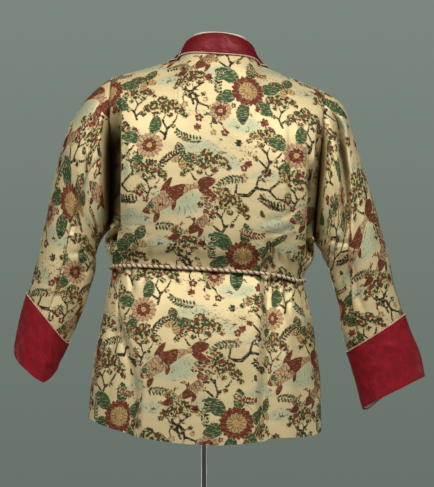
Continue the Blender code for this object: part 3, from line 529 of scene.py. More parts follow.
def drawn_out(points, cut, columns, rows):
    """Where the cloth turns so steeply into a hollow that its design would be drawn out."""
    most = 0.0
    for axis in (0, 1):
        steps = (np.gradient(grid.reshape(rows + 1, columns + 1, -1), axis=axis) for grid in (points, cut))
        real, flat = (np.linalg.norm(step, axis=2) for step in steps)
        most = np.maximum(most, real / np.maximum(flat, 1e-5))
    return most.ravel() > DRAWN_OUT


def keep_behind(points, outer, faces, fixed):
    """Push the lining back wherever it would show through the outer face."""
    shown = BVHTree.FromPolygons(points[:outer].tolist(), [face for face in faces if face[0] < outer])
    lining = np.array([face for face in faces if face[0] >= outer and len(face) == 4])
    each, sign = np.arange(len(lining)), 0.0
    for _ in range(LINING_PASSES):
        corners = points[lining]
        middles = corners.mean(axis=1)[:, None]
        inset = LINING_SAMPLE * corners + (1.0 - LINING_SAMPLE) * middles
        samples = np.concatenate((middles, inset), axis=1)
        hits = [[shown.find_nearest(spot) for spot in face] for face in samples.tolist()]
        spots, out = (np.array([[hit[n] for hit in face] for face in hits]) for n in (0, 1))
        above = np.einsum("fsk,fsk->fs", samples - spots, out)
        sign = sign or -np.sign(np.median(above))
        push = np.maximum(sign * above + LINING_BEHIND, 0.0)
        worst = push.argmax(axis=1)
        depth = push[each, worst]
        order = np.argsort(depth)
        shift, depth = (-sign * out[each, worst] * depth[:, None])[order], depth[order]
        moved, most = np.zeros(points.shape), np.zeros(len(points))
        for corner in lining[order].T:
            moved[corner] = np.where((depth > most[corner])[:, None], shift, moved[corner])
            np.maximum.at(most, corner, depth)
        moved[fixed] = 0.0
        points = points + moved
    return points


def cloth_shell(name, columns, rows, place, marks, *materials):
    """A closed thin wall of cloth: a fine outer face, a coarser lining and the rim that joins them.
    place(across, along, inner) gives points, and marks(across, along) the outer face's own attributes."""
    bm = bmesh.new()
    bmesh.ops.create_grid(bm, x_segments=columns, y_segments=rows, size=0.5)
    outer = len(bm.verts)
    bmesh.ops.create_grid(bm, x_segments=columns // LINING_EVERY, y_segments=rows // LINING_EVERY, size=0.5)
    bm.verts.index_update()
    rim = [e for e in bm.edges if e.is_boundary and e.verts[0].index >= outer]
    bmesh.ops.subdivide_edges(bm, edges=rim, cuts=LINING_EVERY - 1)
    across, along, _ = (np.array([vert.co for vert in bm.verts]) + 0.5).T
    shown, lined = place(across[:outer], along[:outer], False), place(across[outer:], along[outer:], True)
    faces = [[vert.index for vert in face.verts] for face in bm.faces]
    fixed = [vert.index for vert in bm.verts if vert.is_boundary]
    points = keep_behind(np.concatenate((shown, lined)), outer, faces, fixed)
    for vert, point in zip(bm.verts, points):
        vert.co = point
    edges = [e for e in bm.edges if e.is_boundary]
    for edge in edges:
        edge.smooth = False
    bmesh.ops.bridge_loops(bm, edges=edges)
    bmesh.ops.recalc_face_normals(bm, faces=bm.faces)
    if bm.calc_volume(signed=True) < 0.0:
        bmesh.ops.reverse_faces(bm, faces=bm.faces)
    piece = add_piece(name, bm, *materials)
    values = marks(across[:outer], along[:outer])
    plane = np.stack((across, along), axis=1)
    plane[:outer] = np.stack((values.pop("u"), values.pop("v")), axis=1)
    # Painted shade: how dark the outer face is coloured where it lies in shade; the lining carries none.
    hidden = values.pop("hidden", np.zeros(outer))
    drawn = drawn_out(points[:outer], plane[:outer], columns, rows)
    values = {mark: np.where(drawn, NO_FIGURE, value) for mark, value in values.items()}
    mesh = piece.data
    corner = np.zeros(len(mesh.loops), dtype=np.int32)
    mesh.loops.foreach_get("vertex_index", corner)
    mesh.uv_layers.new(name="cut").data.foreach_set("uv", plane[corner].astype(np.float32).ravel())
    for mark, value in {**values, "hidden": hidden, "lining": np.zeros(outer)}.items():
        rest = {"lining": 1.0, "hidden": 0.0}.get(mark, NO_FIGURE)
        whole = np.concatenate((value, np.full(len(points) - outer, rest))).astype(np.float32)
        mesh.attributes.new(mark, "FLOAT", "POINT").data.foreach_set("value", whole)
    return piece


REPEAT = (290.0, 328.0)  # the woven design's repeat, in millimetres
THREADS = ("mist", "rose", "ochre", "green", "rust", "ink", "foliage")


class Figures:
    """The woven design over flat cloth: one distance in millimetres for each colour of thread, below
    zero inside its figures; "line" is zero along the lines inside figures, "trace" along those outside."""

    def __init__(self, u, v):
        self.u, self.v = u * 1000.0, v * 1000.0
        self.field = {thread: np.full(u.shape, NO_FIGURE) for thread in (*THREADS, "line", "trace")}

    def at(self, place, reach, turn=0.0, size=1.0, flip=False):
        """The cloth round a place in the repeat, and its own two directions there."""
        x = (self.u - place[0] + 0.5 * REPEAT[0]) % REPEAT[0] - 0.5 * REPEAT[0]
        y = (self.v - place[1] + 0.5 * REPEAT[1]) % REPEAT[1] - 0.5 * REPEAT[1]
        near = np.nonzero(np.hypot(x, y) < reach * size)[0]
        along, across = turned(x[near] / size, y[near] / size, 0.0, 0.0, turn)
        return near, (-along if flip else along), across

    def lay(self, near, thread, distance, over=True):
        """Lay one figure; a figure laid over others hides them."""
        for other in THREADS if over else ():
            if other != thread:
                self.field[other][near] = np.maximum(self.field[other][near], 0.4 - distance)
        if over:
            self.field["trace"][near] = np.where(distance < 0.0, NO_FIGURE, self.field["trace"][near])
        self.field[thread][near] = np.minimum(self.field[thread][near], distance)

    def draw(self, near, inside, line):
        self.field["line"][near] = np.where(inside < 0.6, line, self.field["line"][near])

    def plain(self, near, inside):
        self.draw(near, inside, np.full(near.shape, NO_FIGURE))

    def trace(self, near, distance):
        self.field["trace"][near] = np.minimum(self.field["trace"][near], np.abs(distance))


def turned(x, y, at_x, at_y, degrees):
    angle = math.radians(degrees)
    x, y = x - at_x, y - at_y
    return x * math.cos(angle) + y * math.sin(angle), y * math.cos(angle) - x * math.sin(angle)


def to_stroke(x, y, path, thick):
    """Distance to the edge of a brush stroke that thins along its path."""
    best = np.full(x.shape, 99.0)
    for index, ((ax, ay), (bx, by)) in enumerate(zip(path, path[1:])):
        dx, dy = bx - ax, by - ay
        share = np.clip(((x - ax) * dx + (y - ay) * dy) / (dx * dx + dy * dy), 0.0, 1.0)
        width = np.interp((index + share) / (len(path) - 1), np.linspace(0.0, 1.0, len(thick)), thick)
        best = np.minimum(best, np.hypot(x - ax - share * dx, y - ay - share * dy) - width)
    return best


def to_strokes(x, y, paths, thick):
    return np.min([to_stroke(x, y, path, thick) for path in paths], axis=0)


def to_leaf(x, y, length, half_width):
    """Distance to the edge of a pointed leaf that grows along x."""
    radius = (0.25 * length * length + half_width * half_width) / (2.0 * half_width)
    return np.hypot(x - 0.5 * length, np.abs(y) + radius - half_width) - radius


def to_leaves(x, y, leaves):
    """Distance to the nearest of several leaves: each one's foot, lean in degrees, length and half width."""
    return np.min([to_leaf(*turned(x, y, *leaf[:3]), *leaf[3:]) for leaf in leaves], axis=0)


def to_rounds(x, y, rounds, flat=1.0):
    """Distance to the nearest of several rounds, each with its middle and radius."""
    return np.min([np.hypot(px - x, flat * (py - y)) - radius for px, py, radius in rounds], axis=0)


def bloom(f, place, size, turn, petals, outer, inner):
    """A round many-petalled flower with a second ring of petals and a heart."""
    near, x, y = f.at(place, 36, turn, size)
    radius, angle = np.hypot(x, y * 1.08), np.arctan2(y, x)
    for count, reach, notch, thread in ((petals, 29.0, 4.5, outer), (petals * 2 // 3, 17.0, 3.6, inner)):
        edge = (radius - reach + notch * (1.0 - np.abs(np.cos(0.5 * count * angle)))) * size
        f.lay(near, thread, edge)
        f.draw(near, edge, size * radius * np.sin(0.5 * count * angle) * 2.0 / count)
    heart = (radius - 5.0) * size
    f.lay(near, "ochre", heart)
    f.plain(near, heart)


def big_leaf(f, place, length, half_width, turn):
    near, x, y = f.at(place, length + 8, turn)
    bend = y + 0.006 * x * (length - x)
    edge = to_leaf(x, bend, length, half_width) + 0.7 * np.cos(1.25 * x)
    f.lay(near, "green", edge)
    f.draw(near, edge, bend)


def rosette(f, place, reach, *leaves):
    """Big leaves that grow out from under a flower."""
    for turn, length, half_width in leaves:
        angle = math.radians(turn)
        foot = (place[0] + reach * math.cos(angle), place[1] + reach * math.sin(angle))
        big_leaf(f, foot, length, half_width, turn)


def branch(f, place, size, turn, flip=False):
    """A crooked bough with five-petalled blossoms."""
    near, x, y = f.at(place, 95, turn, size, flip)
    trunk = ((-70, -26), (-52, -20), (-44, -6), (-22, -8), (-8, 4), (14, 0), (34, 14), (58, 16), (72, 28))
    twigs = (
        ((-44, -6), (-40, 12), (-28, 22), (-26, 36)),
        ((-8, 4), (-2, 22), (12, 30), (16, 44)),
        ((14, 0), (26, -14), (44, -16), (54, -28)),
        ((34, 14), (40, 30), (52, 38)),
    )
    thick = to_stroke(x, y, trunk, (3.6, 3.0, 3.2, 2.0, 2.2, 1.2))
    f.lay(near, "ink", np.minimum(thick, to_strokes(x, y, twigs, (2.0, 1.5, 1.1))) * size)
    blossoms = (
        (-28, 22, 1.0), (-26, 38, 0.8), (12, 30, 1.1), (17, 46, 0.7), (46, -17, 1.0),
        (56, -30, 0.75), (52, 40, 0.9), (72, 28, 1.0), (-60, -12, 0.85), (2, -10, 0.8),
    )
    for index, (bx, by, grown) in enumerate(blossoms):
        radius, angle = np.hypot(x - bx, y - by), np.arctan2(y - by, x - bx) + index
        petal = (radius - grown * (8.6 - 3.2 * (1.0 - np.abs(np.cos(2.5 * angle))))) * size
        f.lay(near, "rust" if index % 3 else "rose", petal)
        f.draw(near, petal, np.where(radius > 2.5, radius * np.sin(2.5 * angle) / 2.5, NO_FIGURE) * size)
        f.lay(near, "ochre", (radius - 2.1 * grown) * size)


def shrub(f, place, size, turn, flip=False):
    """A bushy shrub: crooked stems under a broken crown of foliage."""
    near, x, y = f.at(place, 60, turn, size, flip)
    stems = (
        ((2, -42), (-3, -24), (5, -8), (-2, 12)),
        ((-3, -24), (-18, -8), (-25, 8)),
        ((5, -8), (20, 2), (30, 16)),
        ((0, -34), (14, -24), (22, -22)),
    )
    f.lay(near, "ink", to_strokes(x, y, stems, (2.4, 1.7, 1.0)) * size)
    clumps = (
        (-27, 11, 11), (-13, 22, 12), (1, 16, 12), (5, 32, 11), (19, 23, 12), (32, 17, 10), (-36, 0, 6),
        (40, 7, 6), (-8, 2, 6), (17, 5, 7), (23, -21, 6), (-14, -18, 5),
    )
    crown = to_rounds(x, y, clumps, 1.2)
    f.lay(near, "foliage", (crown + 1.4 * np.sin(0.7 * x + 1.1) * np.sin(0.8 * y)) * size)


def cloud(f, place, size, flip=False):
    """A soft drift of mist with curled lines."""
    near, x, y = f.at(place, 62, 0.0, size, flip)
    puffs = ((-30, 0, 9), (-16, 7, 12), (2, 10, 14), (19, 5, 11), (32, 0, 8), (-2, 0, 12))
    trail = ((-56, -6), (-38, -4.5), (-10, -5), (24, -5.5), (52, -3))
    drift = np.maximum(to_rounds(x, y, puffs), -(y + 7.0))
    edge = np.minimum(drift, to_stroke(x, y, trail, (0.6, 2.6, 3.0, 2.4, 0.6))) * size
    f.lay(near, "mist", edge, over=False)
    f.trace(near, np.where(edge < 1.0, 2.4 * np.sin(edge * 0.52), NO_FIGURE))


def ripples(f, place, wide, high):
    """Still water as flattened rings."""
    near, x, y = f.at(place, wide + 6)
    ring = np.hypot(x / wide, y / high)
    wave = ring * wide + 2.2 * np.sin(5.0 * np.arctan2(y, x) + ring * 5.0)
    f.lay(near, "mist", (ring - 0.9) * high, over=False)
    f.trace(near, np.where(ring < 1.0, 3.2 * np.sin(wave * 0.42), NO_FIGURE))


def scallops(f, place, wide, high):
    """Rows of fine overlapping arcs, as waves."""
    near, x, y = f.at(place, wide)
    arcs = np.full(near.shape, NO_FIGURE)
    for row in range(-3, 4):
        shift = 15.0 * (row % 2)
        off = (x - shift + 15.0) % 30.0 - 15.0
        radius = np.hypot(off, 1.5 * (y + 9.0 * row))
        rings = np.minimum(np.abs(radius - 15.0), np.abs(radius - 8.0))
        arcs = np.where((radius < 16.0) & (y + 9.0 * row > -0.6), rings, arcs)
    f.trace(near, np.where(np.hypot(x / wide, y / high) < 1.0, arcs, NO_FIGURE))


def carp(f, place, size, turn):
    near, x, y = f.at(place, 75, turn, size)
    off = y - 9.0 * np.sin((x + 12.0) * 0.042)
    half = np.interp(x, (-46, -40, -28, -8, 12, 28, 36), (0.1, 5.5, 10.5, 12.0, 8.0, 3.4, 2.6))
    skin = np.maximum(np.abs(off) - half, np.abs(x + 5.0) - 41.0) * size
    fins = (
        (33, 0, 24, 30, 7), (33, 0, -30, 26, 6), (-22, -8, -128, 17, 4.5), (2, -8, -120, 13, 3.6),
        (-18, 8, 32, 26, 5),
    )
    fins = to_leaves(x, off, fins) * size
    f.lay(near, "rust", fins)
    f.draw(near, fins, 1.5 * np.sin(x + 1.6 * off) * size)
    f.lay(near, "rose", skin)
    patch = np.sin(0.13 * x + 0.8) * 7.0 + 0.4 * off - 1.0
    f.lay(near, "rust", np.maximum(skin, -patch * size))
    scales = 1.5 * np.sin(0.62 * (x + off * off / 24.0)) + 0.9 * np.sin(0.75 * off)
    f.draw(near, skin, np.where(x > -32.0, scales, NO_FIGURE) * size)
    f.lay(near, "ink", (np.hypot(x + 39.0, off - 2.5) - 1.8) * size)


def moth(f, place, size, turn):
    near, x, y = f.at(place, 36, turn, size)
    side = np.abs(x)
    upper = to_leaf(*turned(side, y, 1, 2, 38), 29, 9.5) * size
    lower = to_leaf(*turned(side, y, 1, 0, -48), 20, 7.0) * size
    f.lay(near, "ochre", lower)
    f.lay(near, "green", upper)
    f.draw(near, np.minimum(upper, lower), 2.0 * np.sin(0.5 * np.hypot(side, y) + 0.4) * size)
    f.lay(near, "rust", (np.hypot(side - 17.0, y - 15.0) - 3.6) * size)
    f.lay(near, "ink", to_stroke(side, y, ((0, -9), (0, 8), (6, 19)), (1.7, 1.9, 0.9)) * size)


def maple(f, place, size, turn, thread):
    near, x, y = f.at(place, 20, turn, size)
    stalk = to_stroke(x, y, ((0, 0), (-1, -6), (1, -10)), (1.3, 1.1))
    lobes = ((90, 15), (134, 13), (46, 13), (182, 9.5), (-2, 9.5))
    blade = to_leaves(x, y, [(0, 0, *lobe, 3.4) for lobe in lobes])
    f.lay(near, thread, np.minimum(stalk, blade) * size)


def ginkgo(f, place, size, turn, thread):
    near, x, y = f.at(place, 20, turn, size)
    radius, angle = np.hypot(x, y), np.arctan2(x, y)
    rim = 14.0 + 1.3 * np.cos(9.0 * angle) - 5.0 * np.exp(-((angle / 0.14) ** 2))
    blade = np.maximum(radius - rim, (np.abs(angle) - 1.0) * radius) * size
    f.lay(near, thread, blade)
    f.draw(near, blade, radius * np.sin(8.0 * angle) / 8.0 * size)
    f.lay(near, "ink", to_stroke(x, y, ((0, 2), (0.5, -4), (2, -10)), (1.1, 1.2)) * size, over=False)


def seedling(f, place, size, turn, thread):
    """A small mark of four narrow blades."""
    near, x, y = f.at(place, 14, turn, size)
    blades = [(0, 0, *blade, 1.5) for blade in ((4, 9.0), (62, 8.0), (126, 7.5), (184, 9.0))]
    f.lay(near, thread, to_leaves(x, y, blades) * size, over=False)


def spray(f, place, size, turn, thread, flip=False):
    """A bent stem with narrow leaves in pairs."""
    near, x, y = f.at(place, 64, turn, size, flip)
    stem = ((-44, -8), (-22, 0), (0, 3), (22, 2), (42, -5))
    f.lay(near, "ink", to_stroke(x, y, stem, (1.5, 1.4, 1.0)) * size)
    for index in range(9):
        along = -38.0 + 10.0 * index
        rise = float(np.interp(along, [p[0] for p in stem], [p[1] for p in stem]))
        for lean in (52 - 2 * index, 2 * index - 58):
            blade = to_leaf(*turned(x, y, along, rise, lean), 21.0 - 0.9 * abs(index - 3), 3.7) * size
            f.lay(near, thread if index % 3 else "ink", blade)
            f.plain(near, blade)


# each motif's places in the repeat in millimetres, then its size, turn in degrees, threads and mirror
DESIGN = (
    (ripples, ((222, 192), 64, 27), ((60, 20), 46, 16)),
    (scallops, ((120, 126), 52, 15), ((262, 34), 50, 14), ((36, 296), 48, 14), ((150, 214), 44, 12)),
    (
        cloud,
        ((128, 154), 1.0), ((262, 296), 0.9, True), ((30, 268), 0.8),
        ((190, 108), 0.7, True), ((286, 120), 0.8), ((104, 250), 0.7, True),
    ),
    (branch, ((92, 224), 1.15, 6), ((262, 60), 0.95, 150, True)),
    (
        shrub,
        ((126, 62), 0.95, 8), ((24, 176), 1.20, -6, True), ((240, 96), 0.95, 5),
        ((108, 304), 1.10, -8, True), ((272, 250), 1.15, 6), ((166, 236), 0.90, -4, True),
        ((190, 30), 1.10, 4, True),
    ),
    (
        rosette,
        (
            (62, 92), 22,
            (150, 58, 15), (205, 50, 14), (262, 52, 13), (318, 48, 13), (20, 54, 14), (88, 46, 12),
        ),
    ),
    (bloom, ((62, 92), 1.22, 10, 20, "rust", "ochre"), ((8, 46), 0.80, 40, 14, "rose", "rust")),
    (rosette, ((162, 300), 20, (80, 42, 12), (160, 44, 12), (235, 38, 11))),
    (bloom, ((162, 300), 0.95, 0, 16, "rose", "rust")),
    (carp, ((214, 200), 1.45, 14), ((258, 150), 0.95, 200)),
    (moth, ((142, 112), 1.15, 25), ((226, 276), 1.05, -35)),
    (
        spray,
        ((118, 198), 0.62, 160, "ink"), ((34, 240), 0.60, 20, "green", True),
        ((204, 144), 0.60, -12, "green"), ((284, 186), 0.62, 100, "rust"),
        ((240, 316), 0.60, 160, "green"), ((196, 272), 0.55, 40, "ink"),
        ((2, 106), 0.62, 80, "green"), ((76, 138), 0.55, 175, "rust", True),
    ),
    (
        maple,
        ((98, 26), 0.95, 20, "rust"), ((270, 112), 0.90, -40, "rust"), ((4, 204), 0.85, 70, "rust"),
        ((66, 276), 0.80, 190, "rust"), ((256, 8), 0.80, 15, "rust"), ((170, 180), 0.80, -20, "green"),
        ((48, 312), 0.75, 90, "ink"), ((84, 54), 0.70, 40, "rust"),
    ),
    (
        ginkgo,
        ((76, 4), 0.80, 200, "ochre"), ((222, 136), 0.90, 30, "ochre"), ((142, 262), 0.85, 110, "ochre"),
        ((282, 22), 0.80, -60, "green"), ((14, 226), 0.70, 160, "ochre"), ((92, 176), 0.75, 300, "green"),
    ),
)
SEEDLINGS = 34


def brocade_design(u, v):
    """Every figure of the repeat, laid from the lowest to the uppermost."""
    f = Figures(u, v)
    for motif, *rows in DESIGN:
        for row in rows:
            motif(f, *row)
    for index in range(SEEDLINGS):
        place = ((67.0 + 179.5 * index) % REPEAT[0], (41.0 + 121.3 * index) % REPEAT[1])
        thread = ("ink", "rust", "ink", "green")[index % 4]
        seedling(f, place, 0.8 + 0.1 * (index % 4), 17.0 * (index % 5) - 34.0, thread)
    return {name: np.clip(field, -NO_FIGURE, NO_FIGURE) for name, field in f.field.items()}


# fine ribs of a satin weave and its uneven yarns, as values that change over the cloth
weave = bpy.data.node_groups.new("satin_weave", "ShaderNodeTree")
weave.interface.new_socket("Cloth", in_out="INPUT", socket_type="NodeSocketVector")
for output in ("Ribs", "Slubs", "Puckers"):
    weave.interface.new_socket(output, in_out="OUTPUT", socket_type="NodeSocketFloat")
cloth = weave.nodes.new("NodeGroupInput").outputs["Cloth"]
given = weave.nodes.new("NodeGroupOutput")
for output, turn, scale, detail in (
    ("Ribs", 0.35, (1150.0, 340.0, 1.0), 1.0),
    ("Slubs", 0.0, (420.0, 30.0, 1.0), 2.0),
    ("Puckers", 0.10, (26.0, 70.0, 1.0), 2.0),
):
    laid = put(weave, "Mapping", {"Vector": cloth, "Rotation": (0.0, 0.0, turn), "Scale": scale}).outputs[0]
    weave.links.new(noise(weave, laid, 1.0, detail, "2D"), given.inputs[output])


def woven(tree, uv):
    group = put(tree, "Group", node_tree=weave)
    tree.links.new(uv, group.inputs["Cloth"])
    return group.outputs["Ribs"], group.outputs["Slubs"], group.outputs["Puckers"]


def raise_weave(tree, shader, puckers, relief, strength):
    """The cloth's slight cross-grain puckers, and the weave's own relief on them."""
    crinkle = put(tree, "Bump", {"Height": puckers, "Strength": 0.16, "Distance": 0.003}).outputs[0]
    bump = put(tree, "Bump", {"Height": relief, "Strength": strength, "Distance": 0.0005, "Normal": crinkle})
    tree.links.new(bump.outputs[0], shader.inputs["Normal"])


def mark(tree, name):
    """A value that the cloth's own mesh carries."""
    return put(tree, "Attribute", attribute_name=name).outputs["Fac"]


def times(tree, value, factor):
    return figure(tree, "MULTIPLY", value, factor)


brocade, tree, shader = finish("figured_brocade", {"Metallic": 0.28, "Specular IOR Level": 0.20})
uv = put(tree, "UVMap", uv_map="cut").outputs[0]
ribs, slubs, puckers = woven(tree, uv)
broken = noise(tree, uv, 330.0, 2.0, "2D")
brushed = put(tree, "Mapping", {"Vector": uv, "Rotation": (0.0, 0.0, 0.55), "Scale": (120.0, 460.0, 1.0)})
bare = spread(tree, noise(tree, brushed.outputs[0], 1.0, 1.0, "2D"), 0.56, 0.64)
ragged = figure(tree, "SUBTRACT", broken, 0.5)
colour = tint(tree, spread(tree, slubs, 0.3, 0.7), (0.590, 0.478, 0.256, 1.0), (0.610, 0.496, 0.270, 1.0))
figures = None
for thread, shade, cover, open_ground, soft in (
    ("mist", (0.190, 0.360, 0.300), 0.50, 0.40, 8.0),
    ("rose", (0.300, 0.130, 0.062), 0.70, 0.50, 0.6),
    ("ochre", (0.330, 0.180, 0.045), 0.80, 0.30, 0.6),
    ("green", (0.013, 0.058, 0.018), 0.97, 0.38, 0.6),
    ("rust", (0.130, 0.014, 0.006), 0.98, 0.22, 0.6),
    ("ink", (0.009, 0.006, 0.003), 0.98, 0.30, 0.6),
):
    edge = figure(tree, "ADD", mark(tree, thread), times(tree, ragged, 2.6))
    mask = times(tree, spread(tree, edge, soft, -soft), cover)
    mask = times(tree, mask, figure(tree, "SUBTRACT", 1.0, times(tree, bare, open_ground)))
    colour = tint(tree, mask, colour, (*shade, 1.0))
    figures = mask if figures is None else figure(tree, "MAXIMUM", figures, mask)
edge = figure(tree, "ADD", mark(tree, "foliage"), times(tree, ragged, 9.0))
crown = spread(tree, edge, 0.8, -0.8)
clumps = noise(tree, uv, 165.0, 1.5, "2D")
moved = put(tree, "Mapping", {"Vector": uv, "Location": (3.1, 1.7, 0.0)}).outputs[0]
berries = noise(tree, moved, 115.0, 1.5, "2D")
leaves = tint(tree, spread(tree, clumps, 0.43, 0.47), (0.46, 0.35, 0.15, 1.0), (0.013, 0.058, 0.018, 1.0))
leaves = tint(tree, spread(tree, clumps, 0.54, 0.58), leaves, (0.008, 0.010, 0.004, 1.0))
leaves = tint(tree, spread(tree, berries, 0.57, 0.61), leaves, (0.140, 0.015, 0.007, 1.0))
colour = tint(tree, times(tree, crown, 0.95), colour, leaves)
figures = figure(tree, "MAXIMUM", figures, crown)
line = figure(tree, "ABSOLUTE", mark(tree, "line"))
drawn = times(tree, spread(tree, line, 0.9, 0.4), spread(tree, figures, 0.15, 0.4))
traced = figure(tree, "ADD", mark(tree, "trace"), times(tree, ragged, 1.2))
fine = spread(tree, traced, 1.15, 0.35)
inked = figure(tree, "MAXIMUM", times(tree, drawn, 0.75), times(tree, fine, 0.70))
colour = tint(tree, inked, colour, (0.060, 0.032, 0.012, 1.0))
# Painted shade: the cloth deep in the hollows by the armholes and below the arms, and in the tucks along the
# sleeves' lines, is coloured dark brown.
shade = spread(tree, mark(tree, "hidden"), 0.008, 0.085, 0.0, 0.88)
colour = tint(tree, shade, colour, (0.080, 0.055, 0.024, 1.0))
colour = tint(tree, mark(tree, "lining"), colour, (0.60, 0.45, 0.34, 1.0))
tree.links.new(colour, shader.inputs["Base Color"])
raised = figure(tree, "MAXIMUM", figures, inked)
dull = spread(tree, raised, 0.0, 1.0, 0.49, 0.62)
tree.links.new(figure(tree, "ADD", dull, times(tree, ribs, 0.10)), shader.inputs["Roughness"])
relief = figure(tree, "ADD", times(tree, raised, 0.6), times(tree, ribs, 0.5))
raise_weave(tree, shader, puckers, relief, 0.35)

ARMPIT_ALONG = 0.51  # share of a body panel's rows below the armpit
STEEP, SIDE_SEWN = 10, (0.006, 0.002)  # how steep the hollows' walls are, and cloth held at the side seams
SIDE_GIRTH, SIDE_HELD, SHOULDER_HELD = 1.2, 0.022, 0.10  # near the seams the cloth keeps to its form


def level_at(along):
    high = 1.0 + np.sin(0.5 * np.pi * np.clip((along - ARMPIT_ALONG) / (1.0 - ARMPIT_ALONG), 0.0, 1.0))
    return np.where(along <= ARMPIT_ALONG, along / ARMPIT_ALONG, high)


def hollows(points, turn, level, front, clear):
    """How deep the cloth goes into the hollows by the sleeves, its distance from the edge and their width."""
    edge = body_form(np.where(turn < 0.0, -0.5, 0.5), level, front)
    inside = np.abs(edge[:, 0]) - np.abs(points[:, 0])
    behind = np.where(turn > 0.0, LEFT_VALLEY_WIDTH, RIGHT_VALLEY_WIDTH)
    width = np.where(front, FRONT_VALLEY_WIDTH, behind) + clear
    seam = valley(np.clip(level - 1.0, 0.0, 1.0), turn > 0.0, front) * (level > 1.0)
    hollow = seam * np.exp(-((inside / width) ** STEEP))
    if not front:
        run = ease((height_at(level) - SIDE_FOOT + clear) / SIDE_RUN)
        below = SIDE_HOLLOW * run * ease((1.5 - level) / 0.2)
        width = np.maximum(width, SIDE_WIDTH + clear)
        sewn = bell(inside, SIDE_SEWN[1 if clear else 0])
        reach = np.exp(-((inside / width) ** STEEP)) * (1.0 - sewn)
        hollow = hollow + np.maximum(below - hollow, 0.0) * reach
    return hollow, inside, width


def body_cloth(turn, level, front, creases, inner, out=0.0, seed=0.0):
    """Points of a body panel's outer face or of its lining, with its pleats, creases and seams."""
    points, normals = body_face(turn, level, front)
    seen = leaning(points)
    from_side = np.abs(0.5 - np.abs(turn)) * SIDE_GIRTH * HALF_GIRTH
    loose = ease(from_side / SIDE_HELD) * ease((2.0 - level) / SHOULDER_HELD)
    sunk, tucked, _ = fold_depth(turn, height_at(level), inner)
    uneven = creased(seen[:, 0], seen[:, 2], creases, inner) + slack(seen[:, 0], seen[:, 2], seed)
    sunk = (sunk + uneven) * loose + SEAM_SINK * bell(from_side, SEAM_WIDTH)
    up = np.clip(level - 1.0, 0.0, 1.0)
    hollow, inside, width = hollows(points, turn, level, front, LINING_CLEAR if inner else 0.0)
    inward = unit(np.cross(normals, (0.0, 0.0, 1.0))) * (np.sign(turn) * (-1.0 if front else 1.0))[:, None]
    points = points + normals * (out - sunk - (CLOTH if inner else 0.0))[:, None]
    points = points + inward * (tucked * loose)[:, None]
    points[:, 0] -= np.sign(turn) * VALLEY_TUCK * hollow * ease(inside / (0.6 * width))
    return leaning(points + armhole_inward(up, front) * hollow[:, None])


def body_marks(turn, level, front, columns, rows, start, shift):
    """A body panel's flat cut in metres from a column and the waist, and the design over it."""
    across, along = run_lengths(leaning(body_form(turn, level, front)), columns, rows)
    u = (across - across[:, start : start + 1]).ravel() * (1.0 if turn[columns] > turn[0] else -1.0)
    waist = int(np.argmin(np.abs(level[:: columns + 1] - (WAIST - HEM_SIDE) / (ARMPIT - HEM_SIDE))))
    v = (along - along[waist : waist + 1]).ravel() + shift[1]
    *_, taken = fold_depth(turn, height_at(level))
    u = shift[0] - u - np.sign(turn) * taken
    # Painted shade: the deeper the cloth lies in a hollow by the armholes or below the arms, the darker it is
    # coloured.
    hidden, *_ = hollows(body_form(turn, level, front), turn, level, front, 0.0)
    return {"u": u, "v": v, "hidden": hidden, **brocade_design(u, v)}


def back_place(across, along, inner):
    return body_cloth(across - 0.5, level_at(along), False, BACK_CREASES, inner)


def back_marks(across, along):
    middle = BACK_COLUMNS // 2
    return body_marks(across - 0.5, level_at(along), False, BACK_COLUMNS, BACK_ROWS, middle, (0.0, 0.06))


back = cloth_shell("back_panel", BACK_COLUMNS, BACK_ROWS, back_place, back_marks, brocade)
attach(back, "root")
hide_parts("back")


# Fronts: two lined panels of the same brocade, cut in one from the shoulder to the hem. They wrap, the
# left over the right, and only the tie cord holds them, so they gather above and below it.
CROSSING, OVERLAP, UNDERLAP, UNDERLAP_EASE = 1.130, 0.030, 0.0026, 0.060
EDGE_CURVE, EDGE_EASE, FRONT_SLACK, PLACE_PASSES = 1.05, 0.050, 2.0, 6
FRONT_CREASES = (
    (3, 4.5, 135, 1040, 130, 1075),
    (2.5, 4, 92, 1040, 88, 1068),
    (2.5, 4.5, 50, 1040, 47, 1072),
    (2.5, 4.5, -48, 1038, -52, 1066),
    (3, 4.5, -95, 1038, -90, 1070),
    (3, 5, -140, 1040, -144, 1078),
    (3, 4.5, 140, 1028, 146, 985),
    (2.5, 4, 98, 1028, 101, 992),
    (3, 5, 55, 1028, 60, 975),
    (2.5, 4.5, -50, 1026, -52, 985),
    (3, 4.5, -100, 1026, -106, 980),
    (3, 5, -146, 1026, -152, 970),
    (4, 16, 85, 965, 96, 850, 108, 700),
    (4, 16, -80, 960, -90, 840, -100, 700),
    (3.5, 12, 165, 970, 175, 850, 185, 700),
    (3.5, 12, -165, 965, -178, 840, -190, 700),
    (2.2, 18, 30, 960, 34, 850, 38, 700),
    (2.5, 10, 95, 1150, 125, 1200, 155, 1265),
    (2.5, 10, -100, 1145, -130, 1200, -160, 1260),
    (3, 8, 172, 1290, 170, 1190, 176, 1100),
    (3, 8, -178, 1280, -175, 1185, -180, 1100),
)
FRONT_COLUMNS, FRONT_ROWS, FRONT_CUT, FRONT_AREA = 144, 320, (0.36, 0.78), 0.225


def edge_x(height):
    """Sideways place of a front's edge; below the crossing it lies past the centre."""
    above = NECK_HALF * (np.maximum(height - CROSSING, 0.0) / (NECK_SIDE - CROSSING)) ** EDGE_CURVE
    return np.where(height >= CROSSING, above, -OVERLAP * ease((CROSSING - height) / EDGE_EASE))


